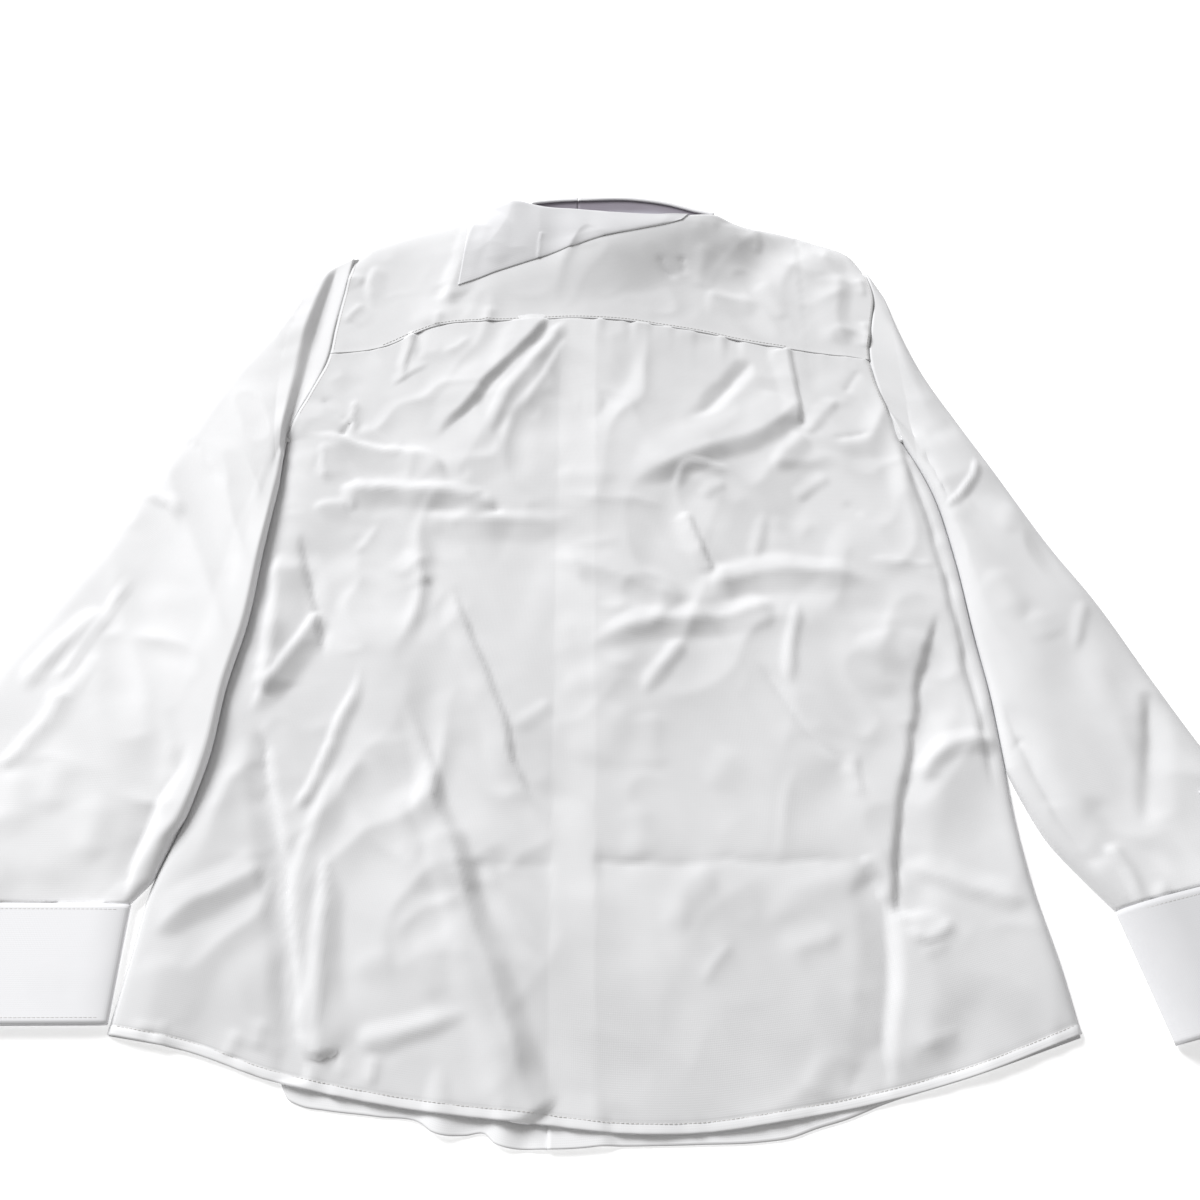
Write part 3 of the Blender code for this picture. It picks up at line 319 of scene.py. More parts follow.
BACK_CREASES = (
    # Long folds that run from below the yoke's seam down to the left.
    crease(((-44, 256), (-61, 232), (-78, 210), (-94, 190), (-109, 170), (-125, 149), (-138, 130)), 4.8, 6,
           24, FACET, (0.1, 0.3)),
    crease(((-29, 249), (-47, 219), (-62, 195), (-76, 172), (-86, 146), (-90, 128)), 3.6, 11, 8, FACET,
           (0.1, 0.25)),
    crease(((-23, 238), (-34, 217), (-46, 192), (-56, 173), (-67, 155)), 1.6, 8, 2.5, CRISP, (0.2, 0.2)),
    # The pleat below the yoke's seam on the left, and the small creases beside it.
    crease(((-161, 244), (-163, 222), (-164, 204), (-164, 189)), 1.8, 4, 7, FACET, (0.02, 0.3)),
    crease(((-156, 241), (-154, 225), (-153, 209)), -1.1, 5.2, 3.9, SOFT, (0.05, 0.3)),
    crease(((-141, 207), (-157, 198), (-173, 184)), 1.1, 3, 9, FACET, (0.3, 0.2)),
    crease(((-231, 172), (-223, 160), (-209, 147)), -1.3, 3, 3, CRISP, (0.2, 0.1)),
    crease(((-206, 149), (-212, 132)), -2, 3, 2.5, CRISP, (0.1, 0.2)),
    crease(((-202, 173), (-204, 148), (-201, 136)), 1.9, 4, 3, CRISP),
    crease(((-135, 217), (-123, 223), (-111, 232)), 1.5, 4, 6, CRISP),
    # Rows of soft folds across the left side.
    crease(((-244, 133), (-216, 131), (-195, 123), (-174, 118), (-157, 116), (-145, 114), (-132, 105),
           (-122, 92)), 3.4, 6, 22, FACET, (0.3, 0.15)),
    crease(((-197, 147), (-181, 133), (-169, 122), (-158, 118)), 1.4, 5, 5, CRISP, (0.2, 0.2)),
    crease(((-126, 87), (-116, 91), (-102, 95)), -0.9, 7.8, 5.2),
    crease(((-204, 84), (-191, 82), (-171, 81), (-151, 80), (-127, 78), (-103, 73), (-81, 60)), 4.4, 10, 17,
           FACET, (0.08, 0.12)),
    crease(((-143, 55), (-121, 53), (-94, 51), (-70, 50), (-39, 52), (-12, 57)), 2.9, 9, 19, FACET,
           (0.15, 0.4)),
    crease(((-96, 76), (-92, 68), (-83, 60), (-78, 53)), -1.9, 3, 4, CRISP, (0.1, 0.3)),
    crease(((-227, 62), (-217, 66), (-201, 70)), 1.5, 6, 15, FACET, (0.3, 0.1)),
    crease(((-203, 90), (-200, 76), (-196, 62)), 1.6, 5, 6, FACET, (0.2, 0.2)),
    crease(((-227, 128), (-224, 111), (-218, 86)), 2, 9, 3, CRISP, (0.2, 0.3)),
    crease(((-174, 51), (-183, 36), (-192, 24)), 1.3, 5, 3, CRISP),
    crease(((-249, 107), (-242, 111), (-227, 112)), 0.8, 7.8, 13),
    # Folds down the left edge.
    crease(((-249, 25), (-247, 1), (-246, -24), (-245, -54), (-245, -78), (-245, -97)), 5.3, 24, 9, FACET,
           (0.15, 0.1)),
    crease(((-233, 46), (-227, 14), (-219, -12), (-213, -32), (-208, -54), (-203, -73)), -2.5, 10, 4, FACET,
           (0.2, 0.3)),
    crease(((-212, -25), (-223, -48), (-234, -70), (-244, -91), (-255, -111)), 3.6, 15, 5, FACET, (0.1, 0.3)),
    crease(((-177, -66), (-179, -86), (-183, -102), (-188, -117), (-193, -134), (-199, -151), (-205, -166),
           (-212, -183)), 2.7, 9, 4, FACET, (0.35, 0.1)),
    crease(((-247, -114), (-238, -148), (-228, -184), (-218, -219), (-211, -246), (-206, -273), (-201, -298),
           (-196, -323), (-190, -361)), -5.5, 6, 16, FACET, (0.15, 0.02)),
    crease(((-181, -139), (-190, -166), (-197, -195), (-204, -221), (-205, -246), (-199, -273), (-195, -295)),
           3.4, 18, 8, FACET),
    crease(((-189, -211), (-185, -236), (-184, -266), (-182, -292), (-180, -317), (-178, -344)), 4.6, 19, 12,
           FACET, (0.2, 0.02), (0.35, 1.1)),
    crease(((-296, -270), (-283, -254), (-264, -242), (-246, -231), (-229, -223)), 3.6, 16, 15, FACET,
           (0.2, 0.1)),
    crease(((-295, -279), (-290, -304), (-284, -329)), 1.3, 11.7, 11.7, SOFT, (0.3, 0.1)),
    # The tuck that widens towards the hem, and the crease beside it.
    crease(((-176, -12), (-165, -39), (-153, -70), (-143, -102), (-135, -129)), 2.2, 16.9, 23.4),
    crease(((-144, -94), (-133, -121), (-123, -151), (-113, -181), (-102, -209), (-91, -240), (-79, -273),
           (-69, -301), (-60, -329), (-50, -357), (-39, -380)), 6.3, 17, 28, FACET, (0.3, 0.02), (0.35, 1.0)),
    crease(((-113, -6), (-103, -33), (-95, -54), (-88, -70), (-80, -94), (-72, -114), (-67, -133),
           (-64, -145), (-56, -159), (-47, -177), (-36, -203)), 3.2, 3.5, 16, FACET, (0.15, 0.35)),
    crease(((-152, 29), (-141, 13), (-131, -8)), 2.2, 4, 9, CRISP, (0.3, 0.2)),
    crease(((-138, -162), (-132, -191), (-123, -227)), 1.3, 13, 11.7),
    crease(((-82, -212), (-67, -240), (-50, -266), (-36, -285)), 1.1, 4, 4, CRISP, (0.2, 0.2)),
    crease(((-68, -124), (-50, -114), (-35, -103)), 1.1, 7, 9, FACET, (0.3, 0.1)),
    # Small creases above the hem on the left.
    crease(((-155, -339), (-130, -331), (-105, -323), (-82, -316)), 2.7, 11, 9, FACET, (0.1, 0.4)),
    crease(((-179, -347), (-170, -344), (-162, -340)), -0.6, 4, 4, CRISP, (0.1, 0.1)),
    crease(((-162, -340), (-164, -358)), 1.2, 9, 4, FACET, (0.05, 0.3)),
    crease(((-144, -344), (-145, -362)), 1.4, 5, 5, FACET, (0.05, 0.3)),
    crease(((-124, -283), (-108, -276), (-94, -279)), 0.7, 9.1, 7.8),
    crease(((-111, -282), (-108, -310)), 0.6, 10.4, 7.8),
    crease(((-216, -320), (-220, -338)), 1.9, 4, 4, CRISP, (0.3, 0.1)),
    crease(((-232, -326), (-238, -342)), 1.6, 5, 4, CRISP, (0.3, 0.1)),
    crease(((-280, -321), (-280, -337)), 1.9, 4, 5, CRISP, (0.3, 0.05)),
    crease(((-293, -320), (-294, -335)), 1.5, 4, 4, CRISP, (0.3, 0.05)),
    crease(((-162, -289), (-131, -282)), 0.5, 7.8, 10.4),
    # The row across that was pressed when the shirt was folded.
    crease(((-115, -223), (-68, -223), (-30, -222)), -1.1, 5, 9, CRISP, (0.3, 0.1)),
    crease(((-8, -221), (34, -220), (68, -220), (122, -219), (174, -218)), -1.9, 6, 11, CRISP, (0.05, 0.1)),
    # Folds across the right side, below the gathers.
    crease(((128, 212), (113, 192), (99, 172), (84, 157), (66, 150)), -3.4, 10, 12, FACET, (0.15, 0.4)),
    crease(((166, 169), (149, 150), (127, 135), (106, 126), (85, 118), (69, 112), (52, 102), (36, 93),
           (22, 86)), 5.5, 15, 30, FACET, (0.1, 0.25)),
    crease(((160, 223), (162, 192), (164, 166), (163, 140)), 2.9, 2.5, 14, FACET, (0.02, 0.15)),
    crease(((168, 135), (157, 124), (147, 111), (142, 95)), 2, 14, 8, FACET, (0.15, 0.3)),
    crease(((199, 171), (184, 156), (175, 144), (168, 132)), 1.8, 7, 10, FACET, (0.2, 0.2)),
    crease(((220, 199), (203, 175)), -1.4, 3, 3, CRISP, (0.2, 0.2)),
    crease(((226, 141), (205, 133), (189, 130)), -1.6, 3, 3, CRISP),
    crease(((187, 95), (172, 86), (163, 78), (156, 69)), 1.5, 6, 10, FACET, (0.2, 0.2)),
    crease(((61, 78), (62, 92), (70, 102), (83, 104), (96, 100), (109, 95)), 1.9, 3, 8, FACET, (0.2, 0.3)),
    crease(((99, 88), (88, 79), (82, 70)), 1.2, 5, 8, FACET, (0.2, 0.2)),
    crease(((69, 58), (75, 34), (81, 16), (86, 2)), 2.7, 3, 12, FACET, (0.05, 0.15)),
    crease(((131, 61), (123, 41), (117, 13)), 1.4, 7, 7, FACET),
    crease(((141, 58), (137, 41), (134, 25)), 0.8, 13, 6.5),
    crease(((-32, 72), (4, 72), (32, 69), (54, 65)), 1.8, 5, 7, CRISP),
    crease(((-38, 90), (-8, 91), (18, 93)), 1.1, 9.1, 9.1),
    crease(((194, 72), (209, 57)), -1.1, 3, 3, CRISP),
    crease(((207, 14), (234, 15), (257, 14)), 1.3, 3, 5, CRISP, (0.3, 0.1)),
    # Long folds across the middle.
    crease(((81, -6), (99, -1), (122, 6), (153, 7), (191, 2), (222, -6)), 4.6, 15, 19, FACET, (0.1, 0.45)),
    crease(((-13, -60), (15, -46), (37, -39), (67, -35), (94, -33), (113, -27), (134, -19)), 4.8, 13, 16,
           FACET, (0.35, 0.1)),
    crease(((-42, 23), (-15, 14), (15, 1), (46, -12), (71, -18)), 2.9, 18, 15, FACET, (0.3, 0.2)),
    crease(((-32, -96), (0, -82), (31, -73)), 1.4, 11.7, 13),
    crease(((62, -51), (50, -68), (40, -83), (31, -100)), 2.3, 9, 8, FACET, (0.2, 0.3)),
    crease(((22, -107), (6, -124), (-6, -140), (-12, -157)), 1.6, 16.9, 14.3),
    crease(((37, -111), (38, -134), (41, -155)), 1, 8, 14, SOFT, (0.2, 0.2)),
    crease(((25, -177), (27, -198), (28, -221)), 0.8, 7, 12, SOFT, (0.3, 0.1)),
    crease(((102, -136), (90, -149), (75, -168)), 0.9, 14.3, 11.7),
    crease(((151, -18), (145, -45), (140, -66), (140, -96)), 2, 7, 6, FACET, (0.2, 0.3)),
    crease(((112, -68), (124, -82), (134, -98), (144, -116), (157, -133), (170, -145), (180, -156)), -1.8, 3,
           4, CRISP, (0.2, 0.1)),
    crease(((182, -142), (182, -159), (187, -176)), 1.4, 3, 10, FACET, (0.2, 0.3)),
    crease(((197, -44), (207, -60), (221, -67), (237, -59), (247, -44)), 1.8, 16.9, 10.4, SOFT, (0.2, 0.2)),
    crease(((177, -30), (203, -24), (230, -30)), -1.3, 13, 10.4),
    # Folds down the right edge.
    crease(((255, -23), (246, -54), (238, -82), (229, -114), (220, -148), (211, -177), (205, -205),
           (201, -233), (200, -258)), -4.8, 24, 5, FACET, (0.2, 0.03)),
    crease(((179, -218), (187, -236), (192, -252), (192, -269), (189, -292), (184, -317), (179, -341),
           (174, -369)), -4.4, 8, 20, FACET, (0.12, 0.02)),
    crease(((179, -216), (187, -233), (195, -250)), 1.6, 5, 3, CRISP, (0.1, 0.2)),
    crease(((227, -161), (235, -145), (249, -135), (269, -131), (285, -131)), 3.6, 9, 11, FACET, (0.15, 0.1)),
    crease(((200, -265), (216, -270), (227, -265), (234, -256)), 2.7, 8, 4, CRISP, (0.3, 0.2)),
    crease(((209, -281), (220, -278), (232, -273)), 1.1, 3, 4, CRISP),
    crease(((205, -220), (229, -230), (255, -239), (291, -246)), 2.5, 13, 9, FACET, (0.2, 0.2)),
    crease(((82, -226), (67, -236), (57, -250), (47, -267)), 1.4, 11.7, 11.7),
    crease(((174, -224), (148, -236), (127, -250), (113, -267)), 1.3, 11.7, 10.4),
    crease(((162, -265), (141, -273), (118, -283)), 1.1, 10.4, 10.4),
    crease(((88, -270), (75, -286), (65, -302)), 1.3, 5, 5, CRISP),
    crease(((155, -340), (142, -351), (131, -365)), 0.7, 7.8, 7.8, SOFT, (0.3, 0.1)),
    crease(((234, -328), (219, -332), (202, -339)), 1.4, 4, 5, CRISP),
    # The side seam on the right, and the strip of cloth between it and the edge.
    crease(((227, 217), (234, 201), (237, 180), (244, 156), (248, 126), (251, 91), (259, 49), (263, 13),
           (266, -15), (270, -51), (273, -92), (276, -120), (276, -148), (276, -177)), -2.6, 8, 5, FACET,
           (0.03, 0.1)),
    crease(((223, 225), (229, 201), (232, 180), (239, 156), (243, 126), (246, 91), (254, 49), (258, 13),
           (262, -15), (266, -51), (269, -92), (272, -120), (272, -148), (272, -177)), 0.9, 4, 16, FACET,
           (0.05, 0.15)),
)

YOKE_CREASES = (
    # The ridge at the left end of the collar's leaf, and the dent beside it.
    crease(((-110, 365), (-117, 338), (-123, 318), (-128, 297), (-132, 282), (-127, 269)), 3.6, 17, 12, FACET,
           (0.1, 0.15)),
    crease(((-138, 295), (-138, 277)), -1.4, 5.2, 6.5),
    # Towards the left shoulder.
    crease(((-199, 320), (-201, 292), (-199, 265)), 1.4, 14, 5, FACET, (0.2, 0.4)),
    crease(((-233, 285), (-225, 297), (-214, 302), (-204, 297)), 1.4, 7, 12, FACET, (0.2, 0.2)),
    crease(((-207, 276), (-214, 264), (-220, 252)), 1.8, 6, 4, CRISP, (0.2, 0.2)),
    crease(((-116, 270), (-138, 262), (-163, 245)), 1, 10.4, 13),
    crease(((-95, 267), (-98, 249)), 1.4, 4, 4, CRISP, (0.3, 0.1)),
    crease(((-137, 265), (-141, 247)), 1.4, 4, 4, CRISP, (0.3, 0.1)),
    crease(((-9, 344), (-7, 325)), 0.5, 10.4, 10.4),
    # Dents and ridges on the right.
    crease(((92, 333), (92, 308), (88, 285)), 1, 12, 9, FACET, (0.2, 0.1)),
    crease(((91, 279), (113, 275), (143, 275)), 1.7, 10, 20, FACET, (0.15, 0.3)),
    crease(((50, 319), (60, 302), (72, 294)), -1.5, 3, 3, CRISP, (0.2, 0.3)),
    crease(((72, 319), (76, 298)), -1.4, 3, 3, CRISP, (0.2, 0.2)),
    crease(((140, 354), (140, 340), (137, 328)), 1, 4, 9, FACET, (0.05, 0.2)),
    crease(((103, 325), (112, 335), (127, 340)), 0.8, 9.1, 7.8),
    crease(((142, 299), (150, 283), (155, 267), (155, 252)), 1, 8, 13, FACET, (0.2, 0.2)),
    crease(((213, 308), (207, 279), (206, 252), (212, 225)), 2.9, 12, 20, FACET, (0.15, 0.2)),
    crease(((176, 302), (193, 316), (219, 328)), 0.9, 10.4, 10.4, SOFT, (0.2, 0.2)),
    crease(((202, 336), (197, 320)), 1.6, 4, 4, CRISP, (0.05, 0.3)),
    crease(((230, 301), (229, 278)), 1.5, 4, 4, CRISP, (0.2, 0.3)),
    crease(((229, 254), (228, 223)), 2, 5, 4, CRISP, (0.2, 0.1)),
)

LEAF_CREASES = (
    # The short pressed line in the leaf, and its slight waves.
    crease(((-52, 344), (-53.5, 318)), 0.8, 3, 0.7, CRISP, (0.1, 0.1)),
    crease(((-105, 352), (-94, 325), (-88, 308)), 0.9, 12, 10),
    crease(((10, 356), (-6, 338)), 0.7, 14, 12),
)

SLEEVE_CREASES = {
    Side.LEFT: (
        # Small creases of the upper sleeve.
        crease(((-340, 129), (-323, 115), (-311, 97), (-297, 78)), -1.3, 3, 3, CRISP, (0.2, 0.3)),
        crease(((-367, 90), (-360, 75), (-347, 67), (-336, 60), (-328, 44)), 2.3, 9, 5, FACET, (0.1, 0.3)),
        crease(((-355, 3), (-364, -22), (-376, -50), (-387, -68), (-396, -87)), 2.1, 6, 4, FACET, (0.3, 0.1)),
        crease(((-371, -29), (-384, -45), (-399, -60), (-411, -80), (-415, -96)), 3.2, 11, 11, FACET,
               (0.15, 0.2)),
        crease(((-391, -92), (-392, -107), (-398, -124), (-408, -137), (-421, -152)), 2.7, 12, 5, FACET,
               (0.1, 0.1)),
        crease(((-367, -65), (-378, -84), (-388, -102)), 1.5, 5, 4, CRISP, (0.2, 0.3)),
        crease(((-378, -142), (-381, -170), (-382, -191)), 1.4, 11.7, 11.7),
        crease(((-347, -170), (-349, -198), (-347, -226)), 1.3, 10.4, 10.4),
        crease(((-402, -148), (-404, -170), (-401, -205)), 1.4, 11.7, 11.7),
        # The fold along the armhole, over the hollow beside its seam.
        crease(((-224, 306), (-232, 276), (-254, 243), (-259, 222), (-260, 198), (-260, 173), (-261, 142),
               (-263, 97), (-264, 46)), 3.5, 5, 26, CRISP, (0.1, 0.45)),
        crease(((-258, 254), (-265, 232), (-266, 206)), -0.9, 6.5, 6.5, SOFT, (0.2, 0.3)),
        crease(((-226, 318), (-227, 301)), -0.8, 6.5, 6.5, SOFT, (0.1, 0.2)),
        # The second edge above the cuff.
        crease(((-292, -131), (-296, -159), (-304, -175), (-310, -193), (-314, -207), (-318, -225),
               (-318, -250)), -4.5, 4, 7, CRISP, (0.2, 0.02)),
    ),
    Side.RIGHT: (
        # Creases of the upper sleeve.
        crease(((303, 109), (295, 86), (285, 73), (272, 62)), 2.3, 6, 4, FACET, (0.2, 0.2)),
        crease(((296, 71), (285, 61), (274, 50)), 0.8, 9.1, 6.5, SOFT, (0.3, 0.2)),
        crease(((252, 171), (256, 150), (258, 130)), -1.5, 3, 3, CRISP, (0.3, 0.2)),
        crease(((262, 118), (269, 96), (277, 71)), -1.4, 3, 3, CRISP, (0.2, 0.2)),
        crease(((263, 129), (281, 137), (295, 146)), -0.9, 6.5, 7.8, SOFT, (0.3, 0.1)),
        crease(((294, 6), (306, -15), (315, -39)), 1.4, 11.7, 11.7),
        crease(((326, -30), (335, -55)), 0.8, 11.7, 11.7),
        crease(((329, 65), (319, 49), (314, 34)), 0.9, 9.1, 6.5),
        crease(((368, -22), (358, -42), (349, -67)), 1.4, 6, 7, FACET, (0.2, 0.4)),
        crease(((366, -50), (366, -94), (371, -127), (373, -159)), 1.5, 13, 15.6),
        crease(((400, -92), (392, -125), (382, -162), (373, -200)), -3.2, 16, 8, FACET, (0.1, 0.2)),
        # The groove along the inner edge, and the pleats above the cuff.
        crease(((293, -99), (297, -131), (304, -154), (311, -173), (318, -195), (328, -214), (336, -233)),
               -4.5, 6, 8, CRISP, (0.15, 0.1)),
        crease(((289, -142), (302, -130)), -3, 4, 4, CRISP, (0.2, 0.2)),
        crease(((344, -210), (350, -227), (356, -244), (359, -258)), 2.9, 8, 4, FACET, (0.1, 0.05)),
        crease(((330, -219), (339, -236), (350, -251)), 2, 5, 4, CRISP, (0.2, 0.1)),
        crease(((333, -177), (350, -198), (370, -219), (384, -233)), -1.6, 7.8, 7.8, SOFT, (0.2, 0.3)),
        crease(((377, -233), (368, -258)), 1.5, 6, 6, FACET, (0.4, 0.02)),
        crease(((310, -178), (310, -193), (305, -204)), 1.8, 5, 4, CRISP, (0.2, 0.3)),
    ),
}


# ---------------------------------------------------------------------------------------------------
# The layout


@dataclass(frozen=True)
class Layout:
    """Where the cut pieces lie: the sizes, outlines and heights that they share with the solids."""

    centre: Point = (0.0046, 0.0005)
    cloth: float = 0.0011
    fused: float = 0.0015
    air: float = 0.0004
    seam: float = 0.00015
    hem_y: float = -0.330
    underarm_y: float = 0.130
    placket_x: float = -0.0185
    placket_width: float = 0.030
    placket_top_y: float = 0.346
    placket_lift: float = 0.0028
    stand_overlap: float = 0.014
    last_button_y: float = -0.256
    back_puff: float = 0.0050
    neck_height: float = 0.0205
    roll: float = 0.0022
    hollow: float = 0.0007
    beside: float = 0.0016
    yoke_end: float = 0.46
    side_share: float = 0.826
    crest: Point = (0.0010, 0.0120)
    long_slope: float = 0.0045
    body_left: tuple[Point, ...] = mm(
        (-316, -330), (-310.5, -290), (-303.5, -235), (-289.5, -190), (-279.5, -145), (-275, -90),
        (-267, -40), (-263.5, 20), (-259.2, 80), (-256, 130),
    )
    body_right: tuple[Point, ...] = mm(
        (308.8, -330), (303.5, -290), (293.5, -235), (289, -190), (287.5, -145), (285, -90), (280, -40),
        (275.2, 20), (265.5, 80), (247.5, 130),
    )
    back_hem: tuple[Point, ...] = mm(
        (-316, -330.5), (-265, -340.4), (-208, -358.2), (-158, -368.7), (-108, -376.6), (-50, -382.5),
        (12, -388.8), (60, -388.8), (119, -381.2), (174, -371.4), (235, -356), (309, -330),
    )
    front_hem: tuple[Point, ...] = mm(
        (-316, -331), (-265, -339.8), (-208, -356), (-200.3, -360), (-199.7, -363.3), (-197.3, -368),
        (-188.5, -372.6), (-171.3, -375.5), (-139.1, -379), (-109.5, -383.8), (-104.9, -387.3),
        (-99.2, -389.3), (-84.3, -389.9), (-70, -389.2), (-66.1, -393.8), (-62.4, -395.3), (-31.4, -397.5),
        (-10.8, -396.8), (0, -395.8), (12.3, -395.8), (61.8, -394.9), (98.9, -393.6), (119.2, -391),
        (134.2, -386.1), (154, -380.7), (176.4, -372.5), (235, -356), (309, -332.2),
    )
    armhole_left: tuple[Point, ...] = mm(
        (-256, 130), (-249, 156), (-237, 188), (-230.5, 211), (-227.5, 245), (-222.5, 290), (-218.5, 326),
    )
    armhole_right: tuple[Point, ...] = mm(
        (247.5, 130), (237, 164), (230, 197.6), (229, 220), (233, 245), (238.5, 280), (235, 309),
    )
    yoke_seam: tuple[Point, ...] = mm(
        (-186.6, 224.7), (-143.9, 245.9), (-85.8, 250.9), (0, 252), (85.3, 237.7), (161, 223),
    )
    shoulder_left: tuple[Point, ...] = mm(
        (-218.5, 326), (-205, 340), (-170, 355.5), (-127.5, 371.5), (-79, 374.5),
    )
    shoulder_right: tuple[Point, ...] = mm((106, 364), (161.6, 358), (195, 346), (221, 333), (235, 309))
    back_neck: tuple[Point, ...] = mm((-79, 374.5), (-48, 366), (0, 358), (62, 357.5), (106, 364))
    front_neck_left: tuple[Point, ...] = mm((-79, 374.5), (-56, 362), (-4.5, 356))
    front_neck_right: tuple[Point, ...] = mm((-32.5, 356), (50, 354.5), (106, 364))
    leaf_edge: tuple[Point, ...] = mm((-124, 290), (-79, 311), (-19, 330), (31, 341), (73, 353))
    leaf_fold: tuple[Point, ...] = mm(
        (-115, 373.8), (-79, 375.8), (-48, 367.5), (0, 359.7), (62, 359.2), (79, 360.5),
    )

    def armhole(self, side: Side) -> tuple[Point, ...]:
        """A side's armhole, from the underarm to the shoulder."""
        return self.armhole_left if side is Side.LEFT else self.armhole_right

    def body_edge(self, y: Array | float, side: Side) -> Array:
        """The x of the body's edge at y."""
        line = smooth_curve(self.body_left if side is Side.LEFT else self.body_right, even(240))
        return np.interp(y, line[:, 1], line[:, 0])

    def shoulder_y(self, x: Array) -> Array:
        """The y of the shoulder and neck outline at x."""
        outline = np.array(self.shoulder_left + self.back_neck[1:-1] + self.shoulder_right)
        return np.interp(x, outline[:, 0], outline[:, 1])

    def leaf_edge_y(self, x: Array) -> Array:
        """The y of the collar leaf's lower edge at x."""
        edge = smooth_curve(self.leaf_edge, even(40))
        return np.interp(x, edge[:, 0], edge[:, 1])

    def hem_line(self, hem: tuple[Point, ...], start_x: float, end_x: float, places: Array) -> Array:
        """A hem between two places across.

        Args:
            hem: the hem's points
            start_x: where it starts
            end_x: where it ends
            places: places from 0 to 1 between the two

        Returns:
            The plan points.
        """
        xs = start_x + (end_x - start_x) * places
        points = smooth_curve(hem, even(200))
        return np.column_stack((xs, np.interp(xs, points[:, 0], points[:, 1])))

    def seam_line(self, first: Array, last: Array, apart: float, places: Array) -> Array:
        """The yoke's seam between two end points, set apart from its own line along y."""
        inner = [(x, y + apart) for x, y in self.yoke_seam]
        return smooth_curve([tuple(first), *inner, tuple(last)], places)

    def centred(self, points: Array) -> Array:
        """Points moved so that the layout's middle is at x = y = 0."""
        return points - np.array((*self.centre, 0.0))

    def outer_edge(self, side: Side, places: Array, end: float) -> Array:
        """A panel's outer edge from the hem to the underarm and on up the armhole.

        Args:
            side: which side of the body
            places: places from 0 to 1; the underarm is at side_share
            end: how far up the armhole the edge runs, as a share of the armhole

        Returns:
            The plan points.
        """
        ys = self.hem_y + (self.underarm_y - self.hem_y) * np.clip(places / self.side_share, 0.0, 1.0)
        straight = np.column_stack((self.body_edge(ys, side), ys))
        curved = smooth_curve(self.armhole(side), end * (places - self.side_share) / (1.0 - self.side_share))
        return np.where((places <= self.side_share)[:, None], straight, curved)

    def front_under(self, x: Array, y: Array) -> Array:
        """Underside of the fronts: on the floor, lifted over the buttons, the placket and the collar.

        Args:
            x: the points' x
            y: the points' y

        Returns:
            The height at each point, in metres.
        """
        beside = np.abs(x - self.placket_x) - self.placket_width / 2
        over_buttons = step_up(1.0 - beside / 0.030) * step_up((y - self.last_button_y + 0.075) / 0.050)
        over_placket = (self.cloth + self.air) * step_up(1.0 - (beside - 0.003) / 0.012)
        over_leaf = step_up((y - 0.300) / 0.015) * step_up((0.125 - x) / 0.020) * step_up((x + 0.105) / 0.020)
        lift = self.placket_lift * over_buttons + over_placket
        return np.maximum(lift, (self.fused + 2 * self.air) * over_leaf) + self.front_waves(x, y)

    def front_waves(self, x: Array, y: Array) -> Array:
        """Waves of the fronts' hem where it comes out below the back's."""
        out = step_up((-0.300 - y) / 0.060)
        return out * (0.0040 * bump((x + 0.101) / 0.012) + 0.0030 * bump((x + 0.061) / 0.010))

    def fronts_top(self, x: Array, y: Array) -> Array:
        """Top of the fronts, with the right front over the left one along the placket.

        Args:
            x: the points' x
            y: the points' y

        Returns:
            The height at each point, in metres.
        """
        beside = np.abs(x - self.placket_x) - self.stand_overlap
        second = (self.cloth + self.air) * step_up(1.0 - beside / 0.020)
        return self.front_under(x, y) + self.cloth + second

    def neck_rise(self, x: Array, y: Array) -> Array:
        """How far the yoke stands up towards the neckline, with a bend under the leaf's lower edge.

        Args:
            x: the points' x
            y: the points' y

        Returns:
            The rise at each point, in metres.
        """
        edge = self.leaf_edge_y(x)
        crest = self.crest[0] + (self.crest[1] - self.crest[0]) * step_up((x + 0.124) / 0.197)
        below = crest * step_up((y - edge + 0.065) / 0.065)
        to_left = step_up((x + 0.060) / 0.090)
        long_slope = self.long_slope * np.clip((y - edge + 0.170) / 0.170, 0.0, 1.0) * to_left
        share = np.clip((y - edge) / (self.shoulder_y(x) - edge), 0.0, 1.0)
        above = (self.neck_height - self.back_puff - crest) * share
        sides = step_up((x + 0.150) / 0.085) * step_up((0.165 - x) / 0.090)
        return (below + above) * sides + long_slope * (1.0 - share) * step_up((0.205 - x) / 0.120)

    def puff(self, x: Array, y: Array) -> Array:
        """Where air lies under the back: 0 at its edges and 1 away from them.

        Args:
            x: the points' x
            y: the points' y

        Returns:
            The share at each point.
        """
        out = np.clip((y - self.underarm_y) / 0.030, 0.0, None) * 0.040
        left = x - self.body_edge(y, Side.LEFT)
        right = self.body_edge(y, Side.RIGHT) - x
        to_side = np.minimum(left, 3.0 * right) + out
        at_neck = step_up((x + 0.115) / 0.040) * step_up((0.130 - x) / 0.030)
        to_shoulder = round_up((self.shoulder_y(x) - y) / 0.024)
        return round_up(to_side / 0.030) * np.maximum(to_shoulder, at_neck)

    def back_under(self, x: Array, y: Array) -> Array:
        """Underside of the back and the yoke without their creases, spanning over the placket.

        Args:
            x: the points' x
            y: the points' y

        Returns:
            The height at each point, in metres.
        """
        hem = 0.22 + 0.78 * step_up((y + 0.395) / 0.110)
        span = hem * 0.0034 * step_up(1.0 - (np.abs(x - self.placket_x) - 0.020) / 0.150)
        level = self.cloth + self.air + self.puff(x, y) * (self.back_puff * hem + span)
        return np.maximum(level, self.fronts_top(x, y) + self.air) + self.neck_rise(x, y)

